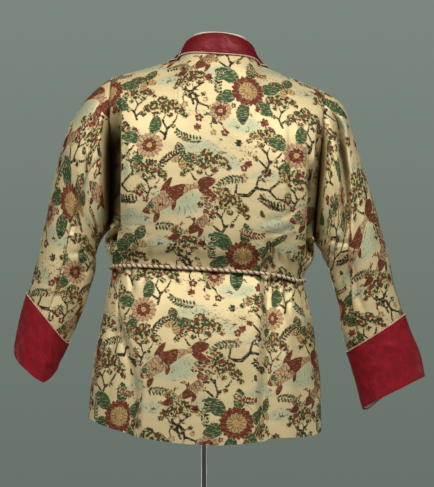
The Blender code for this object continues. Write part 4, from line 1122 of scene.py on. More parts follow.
def front_place(x, height, left):
    """Turn and level of a front at a height and a distance from the centre, positive on its own side."""
    row = read_table(BODY, np.minimum(height, ARMPIT))
    share = x / SHOULDER_HALF
    for _ in range(PLACE_PASSES):
        up = np.clip((height - ARMPIT) / (shoulder_line(SHOULDER_HALF * share, True) - ARMPIT), 0.0, 1.0)
        share = x / (ARMPIT_HALF + (SHOULDER_HALF - ARMPIT_HALF) * up)
    low = height <= ARMPIT
    share = np.clip(np.where(low, x / (row[:, 1] + (row[:, 2] if left else 0.0)), share), -1.0, 1.0)
    level = np.where(low, (height - HEM_SIDE) / (ARMPIT - HEM_SIDE), 1.0 + up)
    return 1.0 - np.arcsin(power(share, 0.5 * ROUNDNESS)) / np.pi, level


def front_spots(side, across, along):
    level = level_at(along)
    height = np.where(level <= 1.0, height_at(level), ARMPIT + (level - 1.0) * (NECK_SIDE - ARMPIT))
    edge_turn, _ = front_place(edge_x(height), height, side > 0)
    return side * (0.5 + across * (edge_turn - 0.5)), level, height


for name, side, shift in (("front_left", 1, 0.210), ("front_right", -1, 0.065)):

    def front_points(across, along, inner):
        turn, level, height = front_spots(side, across, along)
        out = np.zeros(turn.shape)
        if side < 0:
            from_centre = -body_form(turn, level, True)[:, 0]
            under = ease(1.0 - (from_centre - OVERLAP) / UNDERLAP_EASE)
            out = -UNDERLAP * under * (1.0 - ease((height - CROSSING) / UNDERLAP_EASE))
        return body_cloth(turn, level, True, FRONT_CREASES, inner, out, FRONT_SLACK)

    def front_marks(across, along):
        turn, level, _ = front_spots(side, across, along)
        return body_marks(turn, level, True, FRONT_COLUMNS, FRONT_ROWS, 0, (shift, 0.148))

    front = cloth_shell(name + "_panel", FRONT_COLUMNS, FRONT_ROWS, front_points, front_marks, brocade)
    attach(front, "root")
    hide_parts(name)


# Sleeves: each one piece of brocade, lined, sewn to a tube under the arm and set into its armhole. They
# hang empty beside the form, bent a little at the elbow, with folds that run down from the shoulder.
SLEEVE_ENDS = (SHOULDER_HALF, SHOULDER, ARMPIT_HALF, ARMPIT, ARMHOLE_DEPTH, 0.0, 0.0)
# Rows: outer line sideways and up, inner line sideways and up, half depth, forward, drop of the back
LEFT_SLEEVE = (
    SLEEVE_ENDS,
    (0.246, 1.366, 0.208, 1.090, 0.081, 0.001, 0.000),
    (0.274, 1.328, 0.213, 1.084, 0.082, 0.002, 0.000),
    (0.297, 1.282, 0.218, 1.077, 0.080, 0.004, 0.000),
    (0.309, 1.232, 0.223, 1.069, 0.077, 0.007, 0.000),
    (0.321, 1.180, 0.228, 1.058, 0.073, 0.010, 0.000),
    (0.332, 1.119, 0.231, 1.040, 0.069, 0.013, 0.000),
    (0.343, 1.054, 0.230, 1.013, 0.066, 0.016, 0.000),
    (0.354, 1.000, 0.240, 0.975, 0.064, 0.020, 0.000),
    (0.365, 0.955, 0.252, 0.935, 0.064, 0.025, 0.002),
    (0.376, 0.915, 0.268, 0.893, 0.065, 0.030, 0.008),
    (0.384, 0.870, 0.288, 0.850, 0.066, 0.036, 0.016),
    (0.388, 0.836, 0.304, 0.800, 0.066, 0.042, 0.028),
)
RIGHT_SLEEVE = (
    SLEEVE_ENDS,
    (0.241, 1.379, 0.208, 1.090, 0.081, 0.001, 0.000),
    (0.261, 1.354, 0.212, 1.085, 0.083, 0.002, 0.000),
    (0.271, 1.318, 0.216, 1.079, 0.083, 0.003, 0.000),
    (0.284, 1.282, 0.220, 1.071, 0.081, 0.005, 0.000),
    (0.303, 1.230, 0.226, 1.060, 0.077, 0.007, 0.000),
    (0.322, 1.176, 0.234, 1.045, 0.073, 0.010, 0.000),
    (0.340, 1.120, 0.242, 1.024, 0.069, 0.013, 0.000),
    (0.357, 1.070, 0.251, 0.998, 0.064, 0.017, 0.000),
    (0.368, 1.024, 0.259, 0.972, 0.061, 0.021, 0.000),
    (0.384, 0.980, 0.265, 0.942, 0.059, 0.025, 0.000),
    (0.401, 0.936, 0.272, 0.907, 0.058, 0.030, 0.000),
    (0.424, 0.888, 0.290, 0.862, 0.058, 0.036, -0.001),
    (0.438, 0.840, 0.320, 0.780, 0.058, 0.042, -0.002),
)
# Folds: degrees round the sleeve from its outer line by way of the back, rows along it, depth, spread
LEFT_FOLDS = (
    (78, 88, 2.0, 7.5, 0.007, 20), (150, 110, 6.0, 9.0, 0.006, 22), (275, 265, 2.5, 7.0, 0.006, 22),
)
RIGHT_FOLDS = (
    (48, 76, 1.5, 7.5, 0.010, 20), (140, 100, 6.0, 9.5, 0.006, 22), (280, 265, 2.5, 7.0, 0.006, 22),
)
# Creases in millimetres, as on the back, behind and before
LEFT_BEHIND = (
    (4.5, 6, 234, 1263, 236, 1204, 244, 1161, 256, 1102),
    (4, 5, 265, 1206, 250, 1155, 259, 1102),
    (4, 5, 208, 1050, 232, 1062, 261, 1058),
    (3.5, 6, 210, 1031, 236, 1023, 265, 1013),
    (3, 7, 283, 1043, 289, 968),
    (3, 9, 204, 1346, 218, 1283, 228, 1220),
    (3, 6, 252, 1086, 240, 1043, 244, 987),
)
RIGHT_BEHIND = (
    (5, 10, -264, 1330, -272, 1263, -279, 1194, -279, 1121),
    (5, 7, -248, 1263, -254, 1184, -264, 1106),
    (4, 5, -235, 1094, -264, 1080, -302, 1072),
    (3.5, 5, -231, 1070, -256, 1054, -290, 1043),
    (4, 6, -292, 1043, -304, 976, -319, 936),
    (3, 6, -268, 1027, -280, 944),
    (3, 5, -319, 1184, -331, 1121),
)
LEFT_BEFORE = (
    (4, 7, 232, 1250, 240, 1180, 258, 1100),
    (3.5, 6, 270, 1190, 262, 1130, 268, 1080),
    (4, 6, 215, 1055, 245, 1048, 285, 1040),
    (3.5, 6, 222, 1030, 250, 1010, 290, 998),
    (3, 7, 300, 1020, 312, 950),
)
RIGHT_BEFORE = (
    (5, 7, -262, 1250, -272, 1180, -285, 1100),
    (3.5, 6, -300, 1190, -298, 1130, -306, 1080),
    (4, 6, -240, 1060, -275, 1050, -318, 1046),
    (3.5, 6, -250, 1030, -285, 1008, -325, 998),
    (3, 7, -330, 1020, -352, 945),
)
# The long pressed line down each sleeve's back: rows, degrees and the drop of the cloth past it
LEFT_LINE = ((0.5, 94, 0.0045), (12.0, 88, 0.0045))
RIGHT_LINE = (
    (0.5, 42, 0.0060), (2.0, 43, 0.0190), (3.0, 47, 0.0220), (4.0, 57, 0.0200), (5.0, 75, 0.0140),
    (6.0, 103, 0.0060), (7.0, 120, 0.0045), (9.0, 129, 0.0045), (12.5, 130, 0.0045),
)
LINE_GROOVE, LINE_WIDTH, LINE_EASE, LINE_RADIUS, LINE_TAKE = 0.0026, 0.0026, 0.035, 0.060, 0.060
# Painted shade along the sleeves' lines: how dark the tuck past each line is coloured, and over what widths.
LINE_SHADE, SHADE_WIDTH = 3.2, (0.002, 0.009)  # times the drop, and widths before and past the line
# How far each sleeve's end is raised, from its inner line to its outer line
LEFT_END = (
    (-1.0, 0.016), (-0.9, 0.013), (-0.75, 0.006), (-0.5, -0.002), (-0.1, 0.004), (0.25, 0.010), (1.0, 0.012),
)
RIGHT_END = ((-1.0, -0.006), (-0.7, -0.003), (0.0, 0.000), (0.6, 0.003), (1.0, 0.004))
RIGHT_GAPE, GAPE_ANGLE, GAPE_SPREAD = 0.010, 222.0, 26.0
SLEEVE_VALLEY_WIDTH = (0.007, 0.011)  # right and left
ARMHOLE_HELD, CUFF_HELD, ANGLE_PROBE, ROW_PROBE = 0.03, (0.15, 0.8), 0.03, 0.05  # cloth held at its ends
BEHIND_FROM, BEHIND_RUN, SLACK_ROUND, SLEEVE_SLACK = -0.2, 0.5, 0.06, 4.0
SLEEVE_COLUMNS, SLEEVE_ROWS, SLEEVE_CUT, SLEEVE_AREA = 280, 224, (0.66, 0.57), 0.205


def sleeve_form(rows, folds, angle, station):
    """Smooth outer face: angle 0 is the sleeve's outer line, a quarter turn its back."""
    row = read_table([(index, *row) for index, row in enumerate(rows)], station)
    degrees = np.degrees(angle % (2.0 * np.pi))
    sunk = np.zeros(angle.shape)
    for angle_top, angle_foot, top, foot, depth, span in folds:
        share = np.clip((station - top) / (foot - top), 0.0, 1.0)
        off = degrees - angle_top - (angle_foot - angle_top) * share
        sunk += depth * np.sin(np.pi * share) * bell(off, span)
    reach = 1.0 - sunk / row[:, 5]
    along, behind = 0.5 * np.cos(angle) * reach, np.sin(angle) * reach
    x = 0.5 * (row[:, 1] + row[:, 3]) + along * (row[:, 1] - row[:, 3])
    z = 0.5 * (row[:, 2] + row[:, 4]) + along * (row[:, 2] - row[:, 4])
    return np.stack((x, row[:, 5] * behind - row[:, 6], z - row[:, 7] * behind), axis=1)


def round_sleeve(rows, folds, angle, station):
    """The way round a sleeve."""
    ahead = sleeve_form(rows, folds, angle + ANGLE_PROBE, station)
    return ahead - sleeve_form(rows, folds, angle - ANGLE_PROBE, station)


def sleeve_face(rows, folds, angle, station):
    """Points of a sleeve's smooth outer face and the directions out of it."""
    below = sleeve_form(rows, folds, angle, np.minimum(station + ROW_PROBE, len(rows) - 1))
    downward = below - sleeve_form(rows, folds, angle, np.maximum(station - ROW_PROBE, 0.0))
    flat = np.array((SHOULDER - ARMPIT, 0.0, ARMPIT_HALF - SHOULDER_HALF))
    downward = np.where(station[:, None] < 1e-6, flat, downward)
    out = unit(np.cross(downward, round_sleeve(rows, folds, angle, station)))
    return sleeve_form(rows, folds, angle, station), out


def to_armhole(rows, folds, angle, station):
    """Distance from a sleeve's armhole seam."""
    seam = sleeve_form(rows, folds, angle, np.zeros(angle.shape))
    return np.linalg.norm(sleeve_form(rows, folds, angle, station) - seam, axis=1)


def sleeve_hollow(side, angle, from_armhole, clear):
    """Depth of the hollow along a sleeve's armhole seam."""
    deep = valley(0.5 + 0.5 * np.cos(angle), side > 0, np.sin(angle) < 0.0)
    return deep * bell(from_armhole, SLEEVE_VALLEY_WIDTH[side > 0] + clear)


LEFT_CUFF, RIGHT_CUFF = (9.85, 0.85), (11.05, 0.62)  # row of a cuff's upper edge, and its slant


def cuff_top(cuff, angle):
    """Row of a cuff's upper edge."""
    return cuff[0] - cuff[1] * np.cos(angle)


def end_shift(side, angle, past):
    """How far the end of a sleeve and its cuff is raised; past is 0 at the cuff's top and 1 at its end."""
    places, raised = np.array(LEFT_END if side > 0 else RIGHT_END).T
    shift = np.interp(np.cos(angle), places, raised)
    if side < 0:
        shift = shift - RIGHT_GAPE * bell(np.degrees(angle % (2.0 * np.pi)) - GAPE_ANGLE, GAPE_SPREAD)
    return shift * ease(past) ** 2


def past_line(side, angle, station):
    """Distance round a sleeve past the long line down its back, and the drop there."""
    rows, degrees, drops = np.array(LEFT_LINE if side > 0 else RIGHT_LINE).T
    past = LINE_RADIUS * np.radians(np.degrees(angle % (2.0 * np.pi)) - np.interp(station, rows, degrees))
    return past, np.interp(station, rows, drops)


for name, side, rows, folds, behind_creases, before_creases, cuff, shift in (
    ("sleeve_left", 1, LEFT_SLEEVE, LEFT_FOLDS, LEFT_BEHIND, LEFT_BEFORE, LEFT_CUFF, (0.070, 0.235)),
    ("sleeve_right", -1, RIGHT_SLEEVE, RIGHT_FOLDS, RIGHT_BEHIND, RIGHT_BEFORE, RIGHT_CUFF, (0.215, 0.060)),
):
    last = len(rows) - 1
    mirror = np.array((side, 1.0, 1.0))

    def sleeve_points(across, along, inner):
        angle, station = np.pi * (1.0 + 2.0 * across), along * last
        points, normals = sleeve_face(rows, folds, angle, station)
        seen = leaning(points * mirror)
        top = cuff_top(cuff, angle)
        from_armhole = to_armhole(rows, folds, angle, station)
        loose = ease(from_armhole / ARMHOLE_HELD) * ease((top - CUFF_HELD[0] - station) / CUFF_HELD[1])
        behind = ease((np.sin(angle) - BEHIND_FROM) / BEHIND_RUN)
        sunk = creased(seen[:, 0], seen[:, 2], behind_creases, inner) * behind
        sunk += creased(seen[:, 0], seen[:, 2], before_creases, inner) * (1.0 - behind)
        sunk += slack(seen[:, 2], SLACK_ROUND * np.sin(angle) + seen[:, 0], SLEEVE_SLACK + side)
        clear = LINING_CLEAR if inner else 0.0
        past, drop = past_line(side, angle, station)
        drop = drop * ease((past + clear) / LINE_WIDTH + 0.5)
        sunk += LINE_GROOVE * bell(past, LINE_WIDTH + clear)
        sunk += drop * (1.0 - ease((past - clear) / LINE_EASE))
        sunk = sunk * loose + SEAM_SINK * bell(from_armhole, SEAM_WIDTH)
        under = (1.0 - ease((past - 0.5 * LINE_WIDTH) / (0.4 * LINE_EASE))) * (not inner)
        hollow = sleeve_hollow(side, angle, from_armhole, clear)
        points = points - normals * (sunk + (CLOTH if inner else 0.0))[:, None]
        tucked = unit(round_sleeve(rows, folds, angle, station)) * (TUCK * drop * loose * under)[:, None]
        inward = armhole_inward(0.5 + 0.5 * np.cos(angle), np.sin(angle) < 0.0)
        points = points - tucked + inward * hollow[:, None]
        points[:, 2] += end_shift(side, angle, (station - top) / (last - top))
        return leaning((points + np.array((GAP, 0.0, 0.0))) * mirror)

    def sleeve_marks(across, along):
        angle, station = np.pi * (1.0 + 2.0 * across), along * last
        from_armhole = to_armhole(rows, folds, angle, station)
        # Painted shade: the cloth in the tuck past the line and in the hollow at the armhole seam is coloured
        # darker.
        past, tuck = past_line(side, angle, station)
        shade = LINE_SHADE * tuck * bell(past, np.where(past > 0.0, SHADE_WIDTH[1], SHADE_WIDTH[0]))
        shade = shade * ease(from_armhole / ARMHOLE_HELD)
        hidden = np.maximum(sleeve_hollow(side, angle, from_armhole, 0.0), shade)
        smooth = leaning(sleeve_form(rows, folds, angle, station) * mirror)
        reach, drop = run_lengths(smooth, SLEEVE_COLUMNS, SLEEVE_ROWS)
        behind = SLEEVE_COLUMNS * 3 // 4
        u = side * ((reach - reach[:, behind : behind + 1]).ravel() + LINE_TAKE * (past > 0.0)) + shift[0]
        v = shift[1] - np.repeat(drop[:, behind], SLEEVE_COLUMNS + 1)
        return {"u": u, "v": v, "hidden": hidden, **brocade_design(u, v)}

    sleeve = cloth_shell(name + "_tube", SLEEVE_COLUMNS, SLEEVE_ROWS, sleeve_points, sleeve_marks, brocade)
    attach(sleeve, "root")
    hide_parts(name)


# Cuffs: turn-back bands of dark red damask satin, cut on a slant so that they are deepest on the outer
# side. Each stands a little off its sleeve at the top and ends just past the sleeve's own edge.
SATIN, CUFF_LIFT, FLARE_SWAY, CUFF_PAST_SLEEVE = 0.0018, 0.0010, 0.35, 0.0025
PUFF_RUN, CUFF_PUFF, PAST_FROM = 0.15, 0.5, 0.7
CUFF_COLUMNS, CUFF_ROWS, CUFF_CUT, CUFF_AREA = 200, 56, (0.42, 0.15), 0.040

damask, tree, shader = finish("red_damask_satin", {"Metallic": 0.15, "Specular IOR Level": 0.18})
uv = put(tree, "UVMap", uv_map="cut").outputs[0]
ribs, slubs, puckers = woven(tree, uv)
curled = {"Vector": uv, "Scale": 38.0, "Detail": 1.0, "Distortion": 1.6}
stems = put(tree, "TexNoise", curled, noise_dimensions="2D").outputs[0]
leaves = put(tree, "TexVoronoi", {"Vector": uv, "Scale": 46.0}, voronoi_dimensions="2D", feature="SMOOTH_F1")
vines = spread(tree, figure(tree, "ABSOLUTE", figure(tree, "SUBTRACT", stems, 0.5)), 0.060, 0.030)
sprigs = figure(tree, "MAXIMUM", vines, spread(tree, leaves.outputs["Distance"], 0.34, 0.26))
deep = tint(tree, spread(tree, slubs, 0.3, 0.7), (0.250, 0.0100, 0.0175, 1.0), (0.285, 0.0135, 0.0225, 1.0))
figured = tint(tree, times(tree, sprigs, 0.7), deep, (0.175, 0.0055, 0.0100, 1.0))
# Painted shade: the satin is coloured darker round the back of the collar's neck.
shade = spread(tree, mark(tree, "hidden"), 0.0, 0.085, 0.0, 0.75)
figured = tint(tree, shade, figured, (0.090, 0.0030, 0.0050, 1.0))
figured = tint(tree, mark(tree, "lining"), figured, (0.17, 0.010, 0.016, 1.0))
tree.links.new(figured, shader.inputs["Base Color"])
gloss = spread(tree, sprigs, 0.0, 1.0, 0.36, 0.58)
tree.links.new(figure(tree, "ADD", gloss, times(tree, ribs, 0.12)), shader.inputs["Roughness"])
relief = figure(tree, "ADD", times(tree, sprigs, 0.4), times(tree, ribs, 0.6))
raise_weave(tree, shader, puckers, relief, 0.30)

CUFF_CREASES = (
    (1.6, 8, 345, 905, 372, 862),
    (1.4, 8, 300, 850, 330, 838),
    (1.6, 8, -352, 880, -392, 868),
    (1.4, 9, -330, 840, -372, 826),
)


def cuff_out(flare, angle, share):
    """How far a cuff stands off its sleeve, from its upper edge, share 0, to its lower edge."""
    return CUFF_LIFT + flare * (1.0 - share) ** 2 * (1.0 - FLARE_SWAY + FLARE_SWAY * np.cos(angle))


CUFFS = (
    ("left", 1, LEFT_SLEEVE, LEFT_FOLDS, LEFT_CUFF, 0.001),
    ("right", -1, RIGHT_SLEEVE, RIGHT_FOLDS, RIGHT_CUFF, 0.0015),
)
for name, side, rows, folds, top_edge, flare in CUFFS:
    last = len(rows) - 1
    mirror = np.array((side, 1.0, 1.0))

    def cuff_points(across, along, inner):
        angle = np.pi * (1.0 + 2.0 * across)
        top = cuff_top(top_edge, angle)
        points, normals = sleeve_face(rows, folds, angle, top + along * (last - top))
        seen = leaning(points * mirror)
        puffed = creased(seen[:, 0], seen[:, 2], CUFF_CREASES, inner)
        puffed = puffed + CUFF_PUFF * np.abs(slack(seen[:, 2], seen[:, 0], side))
        out = cuff_out(flare, angle, along) + puffed * ease(along / PUFF_RUN) + (0.0 if inner else SATIN)
        points = points + normals * out[:, None]
        past = CUFF_PAST_SLEEVE * ease((along - PAST_FROM) / (1.0 - PAST_FROM))
        points[:, 2] += end_shift(side, angle, along) - past
        return leaning(points * mirror)

    def cuff_marks(across, along):
        reach, drop = run_lengths(cuff_points(across, along, False), CUFF_COLUMNS, CUFF_ROWS)
        return {"u": side * reach.ravel(), "v": -drop.ravel()}

    cuff = cloth_shell("cuff_" + name + "_band", CUFF_COLUMNS, CUFF_ROWS, cuff_points, cuff_marks, damask)
    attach(cuff, "root")
    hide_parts("cuff_" + name)


# Collar: a shawl collar of the same red satin, cut double and rolled. It stands up round the back neck,
# falls over its own seam, and runs down as two lapels to where the fronts cross.
COLLAR_REACH, COLLAR_FALL, COLLAR_STAND, STAND_IN_FRONT, COLLAR_LEAN = 0.094, 0.046, 0.026, 0.0032, 0.38
BACK_NECK, STAND_RUN, LAPEL_ROLL, ROLL_CURVE, LAPEL_LIFT = 1.0 / 3.0, 0.45, 3.0, 1.4, 0.0017
LAPELS = (
    (CROSSING, 0.006), (1.155, 0.030), (1.205, 0.056), (1.275, 0.068), (1.345, 0.062), (1.410, 0.040),
    (NECK_SIDE, COLLAR_REACH - NECK_HALF),
)
COLLAR_COLUMNS, COLLAR_ROWS, ROLL_SMOOTHING, COLLAR_CUT, COLLAR_AREA = 352, 44, 6, (0.12, 1.10), 0.068
# Painted shade round the back of the neck: how dark, from where and over what run the collar's satin is
# coloured darker.
NECK_SHADE, SHADE_FROM, SHADE_RUN = 0.085, -0.02, 0.06  # the satin is darker round the back of the neck


def collar_middle(share, station):
    """Middle of the satin on the wearer's left: share 0 is the centre back and 1 the crossing, station 0
    the sewn edge, 1 the roll and 2 the outer edge."""
    behind = share <= BACK_NECK + 1e-9
    angle = 0.5 * np.pi * np.clip(share / BACK_NECK, 0.0, 1.0)
    down = np.clip((share - BACK_NECK) / (1.0 - BACK_NECK), 0.0, 1.0)
    height = CROSSING + (NECK_SIDE - CROSSING) * np.cos(0.5 * np.pi * down)
    low = ease(down / STAND_RUN)
    edges = []
    lapel = read_table(LAPELS, height)[:, 1]
    for reach, drop, width in ((NECK_HALF, 0.0, 0.0), (COLLAR_REACH, COLLAR_FALL, lapel)):
        turn = np.arcsin((reach / SHOULDER_HALF * np.sin(angle)) ** (0.5 * ROUNDNESS)) / np.pi
        front_turn, front_level = front_place(edge_x(height) + width, height, True)
        edges.append(np.where(behind, (turn, 2.0 - drop * np.cos(angle) ** 2), (front_turn, front_level)))
    over = np.maximum(station - 1.0, 0.0)
    turn, level = edges[0] + (edges[1] - edges[0]) * over
    point, normal = (
        np.where(behind[:, None], at_back, at_front)
        for at_back, at_front in zip(
            body_face(np.minimum(turn, 0.5), np.minimum(level, 2.0), False),
            body_face(np.maximum(turn, 0.5), np.minimum(level, 2.0), True),
        )
    )
    stand = COLLAR_STAND + (STAND_IN_FRONT - COLLAR_STAND) * low
    lean_in = np.where(behind, np.sin(angle), 1.0 - low)
    up = unit(np.stack((-COLLAR_LEAN * lean_in, -LAPEL_ROLL * low, 1.0 - low), axis=1))
    rise = stand * np.where(station <= 1.0, station, (1.0 - over) ** ROLL_CURVE)
    seat = np.where(behind, GAP, LAPEL_LIFT) * (1.0 - np.minimum(station, 1.0))
    lift = (LAPEL_LIFT + 0.5 * SATIN) * np.minimum(station, 1.0)
    return point + up * (rise + seat)[:, None] + normal * lift[:, None], normal


def on_both_sides(points, across):
    """Points made for the wearer's left, on the side that they belong to."""
    points = points.copy()
    points[:, 0] *= np.where(across < 0.5, -1.0, 1.0)
    return leaning(points)


def evenly(parts):
    return np.linspace(0.0, 1.0, parts + 1)


across, along = (axis.ravel() for axis in np.meshgrid(evenly(COLLAR_COLUMNS), evenly(COLLAR_ROWS)))
roll = on_both_sides(collar_middle(np.abs(2.0 * across - 1.0), 2.0 * along)[0], across)
roll = roll.reshape(COLLAR_ROWS + 1, COLLAR_COLUMNS + 1, 3)
for _ in range(ROLL_SMOOTHING):
    roll[1:-1] = 0.25 * roll[:-2] + 0.5 * roll[1:-1] + 0.25 * roll[2:]
    roll[:, 1:-1] = 0.25 * roll[:, :-2] + 0.5 * roll[:, 1:-1] + 0.25 * roll[:, 2:]
roll_out = unit(np.cross(np.gradient(roll, axis=1), np.gradient(roll, axis=0)))


def read_grid(grid, across, along):
    """Points of a grid at shares of its columns and rows."""
    column, row = across * COLLAR_COLUMNS, along * COLLAR_ROWS
    c = np.clip(column.astype(int), 0, COLLAR_COLUMNS - 1)
    r = np.clip(row.astype(int), 0, COLLAR_ROWS - 1)
    s, t = (column - c)[:, None], (row - r)[:, None]
    low, high = ((1 - s) * grid[at, c] + s * grid[at, c + 1] for at in (r, r + 1))
    return (1 - t) * low + t * high


def collar_points(across, along, inner):
    out = read_grid(roll_out, across, along) * (-0.5 * SATIN if inner else 0.5 * SATIN)
    return read_grid(roll, across, along) + out


def collar_marks(across, along):
    points = collar_points(across, along, False)
    reach, drop = run_lengths(points, COLLAR_COLUMNS, COLLAR_ROWS)
    # Painted shade: the satin is coloured darker towards the back of the neck.
    hidden = NECK_SHADE * ease((points[:, 1] - SHADE_FROM) / SHADE_RUN)
    return {"u": reach.ravel(), "v": drop.ravel(), "hidden": hidden}


collar = cloth_shell("shawl_collar", COLLAR_COLUMNS, COLLAR_ROWS, collar_points, collar_marks, damask)
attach(collar, "root")
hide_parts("collar")


# Edge cords: a thin twisted cord of cream and red silk is sewn along the collar's outer edge and round
# the top of each cuff.
TRIM_RADIUS, TRIM_PITCH, TRIM_PROBE, TWIST_STEPS = 0.0015, 0.0055, 0.2, 9.0
YARN_SHARE, CUFF_TRIM_SPOTS, COLLAR_TRIM_SPOTS = {2: 0.54, 3: 0.50}, 181, 401  # of the cord's radius
CUFF_TRIM_GAP, COLLAR_TRIM_GAP, COLLAR_TRIM_LIFT = 0.0006, 0.0015, 0.0006


def yarn(name, dark, light):
    """Silk yarn: fine filaments with a soft shine."""
    made, tree, shader = finish(name, {"Sheen Weight": 0.3, "Sheen Roughness": 0.4})
    where = put(tree, "TexCoord").outputs["Object"]
    hairs, soiled = noise(tree, where, 1500.0, 2.0), noise(tree, where, 90.0, 3.0)
    mixed = figure(tree, "ADD", times(tree, hairs, 0.6), times(tree, soiled, 0.4))
    tree.links.new(tint(tree, spread(tree, mixed, 0.35, 0.65), dark, light), shader.inputs["Base Color"])
    tree.links.new(spread(tree, hairs, 0.3, 0.7, 0.45, 0.70), shader.inputs["Roughness"])
    bump = put(tree, "Bump", {"Height": hairs, "Strength": 0.4, "Distance": 0.0003})
    tree.links.new(bump.outputs[0], shader.inputs["Normal"])
    return made


cream_yarn = yarn("cream_silk_yarn", (0.46, 0.34, 0.20, 1.0), (0.68, 0.54, 0.36, 1.0))
pink_yarn = yarn("pink_silk_yarn", (0.34, 0.13, 0.09, 1.0), (0.50, 0.24, 0.17, 1.0))
TRIM_YARNS = (cream_yarn, pink_yarn)
maroon_yarn = yarn("maroon_silk_yarn", (0.060, 0.016, 0.014, 1.0), (0.120, 0.036, 0.030, 1.0))


def even_steps(route, step):
    """Points at even steps along a route."""
    at = np.concatenate(([0.0], np.cumsum(np.linalg.norm(np.diff(route, axis=0), axis=1))))
    wanted = np.linspace(0.0, at[-1], max(round(at[-1] / step), 2) + 1)
    return np.stack([np.interp(wanted, at, route[:, axis]) for axis in range(3)], axis=1), wanted


def twisted_cord(name, route, facing, radius, pitch, yarns, closed=False):
    """Yarns laid round each other along a route; facing is any direction that the route never takes."""
    points, run = even_steps(route, pitch / TWIST_STEPS)
    if closed:
        pitch = run[-1] / round(run[-1] / pitch)
    ahead = unit(np.gradient(points, axis=0))
    if closed:
        ahead[0] = ahead[-1] = unit(points[1] - points[-2])
    facing = np.broadcast_to(np.array(facing(points) if callable(facing) else facing), points.shape)
    out = unit(facing - ahead * np.sum(facing * ahead, axis=1, keepdims=True))
    side = np.cross(ahead, out)
    count, kinds = len(yarns), list(dict.fromkeys(yarns))
    thick = radius * YARN_SHARE[count]
    curve = bpy.data.curves.new(name, "CURVE")
    curve.dimensions = "3D"
    curve.bevel_depth = thick
    curve.bevel_resolution = count - 1
    curve.use_fill_caps = not closed
    for made in kinds:
        curve.materials.append(made)
    for index, made in enumerate(yarns):
        turn = 2.0 * np.pi * (run / pitch + index / count)
        laid = points + (radius - thick) * (out * np.cos(turn)[:, None] + side * np.sin(turn)[:, None])
        laid = laid[:-1] if closed else laid
        spline = curve.splines.new("POLY")
        spline.points.add(len(laid) - 1)
        for knot, place in zip(spline.points, laid):
            knot.co = (*place, 1.0)
        spline.use_cyclic_u = closed
        spline.use_smooth = True
        spline.material_index = kinds.index(made)
    lines = bpy.data.objects.new(name + "_lines", curve)
    mesh = bpy.data.meshes.new_from_object(lines)
    mesh.name = name
    bpy.data.objects.remove(lines)
    bpy.data.curves.remove(curve)
    piece = bpy.data.objects.new(name, mesh)
    bpy.context.scene.collection.objects.link(piece)
    return piece


for name, side, rows, folds, top_edge, flare in CUFFS:
    mirror = np.array((side, 1.0, 1.0))
    angle = np.linspace(0.0, 2.0 * np.pi, CUFF_TRIM_SPOTS)
    top = cuff_top(top_edge, angle)
    out = (cuff_out(flare, angle, 0.0) + 0.5 * SATIN)[:, None]
    rim, rim_out = sleeve_face(rows, folds, angle, top)
    above, above_out = sleeve_face(rows, folds, angle, top - TRIM_PROBE)
    upward = unit(above + above_out * out - rim - rim_out * out)
    route = leaning((rim + rim_out * out + upward * (TRIM_RADIUS + CUFF_TRIM_GAP)) * mirror)
    trim_name = "cuff_" + name + "_edge_cord"
    trim = twisted_cord(trim_name, route, (0.0, 0.0, 1.0), TRIM_RADIUS, TRIM_PITCH, TRIM_YARNS, True)
    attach(trim, "root")
    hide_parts("cuff_cord_" + name)

across = np.linspace(0.0, 1.0, COLLAR_TRIM_SPOTS)
share = np.abs(2.0 * across - 1.0)
rim, rim_out = collar_middle(share, np.full(share.shape, 2.0))
inside, _ = collar_middle(share, np.full(share.shape, 2.0 - TRIM_PROBE))
outward = rim - inside
outward = unit(outward - rim_out * np.sum(outward * rim_out, axis=1, keepdims=True))
route = on_both_sides(rim + outward * (TRIM_RADIUS + COLLAR_TRIM_GAP) + rim_out * COLLAR_TRIM_LIFT, across)


def from_neck(points):
    """Level directions out from the middle of the neck."""
    return points * (1.0, 1.0, 0.0) + (0.028, 0.0, 0.0)


trim = twisted_cord("collar_edge_cord", route, from_neck, TRIM_RADIUS, TRIM_PITCH, TRIM_YARNS)
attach(trim, "root")
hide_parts("collar_cord")


# Tie cord: a thick three-strand twisted cord goes once round the waist over the cloth. It is knotted at
# the centre front, and its two ends hang from the knot, each stopped by a small knot of its own.
CORD_RADIUS, CORD_CLEAR, CORD_PITCH, KNOT = 0.0035, 0.0008, 0.0115, (0.013, 0.010, 0.012)
CORD_DROOP, DROOP_AT, DROOP_RUN, END_SETTLE = 0.008, -0.34, 0.10, 0.25
KNOT_CORD, STOP_KNOT, STOP_CORD, PATH_STEP = 0.0034, (0.0075, 0.0060, 0.0075), 0.0028, 0.009
WAIST_SPOTS, KNOT_SPOTS, END_SPOTS = 421, 181, 200
TIE_YARNS = (cream_yarn, cream_yarn, maroon_yarn)

knot_turn = front_place(np.array([KNOT[0]]), np.array([WAIST]), True)[0][0]
turn = np.linspace(-knot_turn, knot_turn, WAIST_SPOTS)
droop = CORD_DROOP * bell(turn - DROOP_AT, DROOP_RUN)
level = (WAIST - droop - HEM_SIDE) / (ARMPIT - HEM_SIDE)
before, behind = body_face(turn, level, True), body_face(turn, level, False)
around = np.where(np.abs(turn)[:, None] > 0.5, before, behind)
route = leaning(around[0] + around[1] * (CORD_RADIUS + CORD_CLEAR))
tie = twisted_cord("waist_tie_cord", route, (0.0, 0.0, 1.0), CORD_RADIUS, CORD_PITCH, TIE_YARNS)
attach(tie, "root")
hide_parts("waist_cord")


def on_front(x, height, out):
    """A place off the fronts, over their pleats."""
    turn, level = front_place(np.array([x]), np.array([height]), True)
    point, normal = body_face(turn, level, True)
    sunk, *_ = fold_depth(turn, height_at(level))
    return leaning(point + normal * (out - sunk)[:, None])[0]


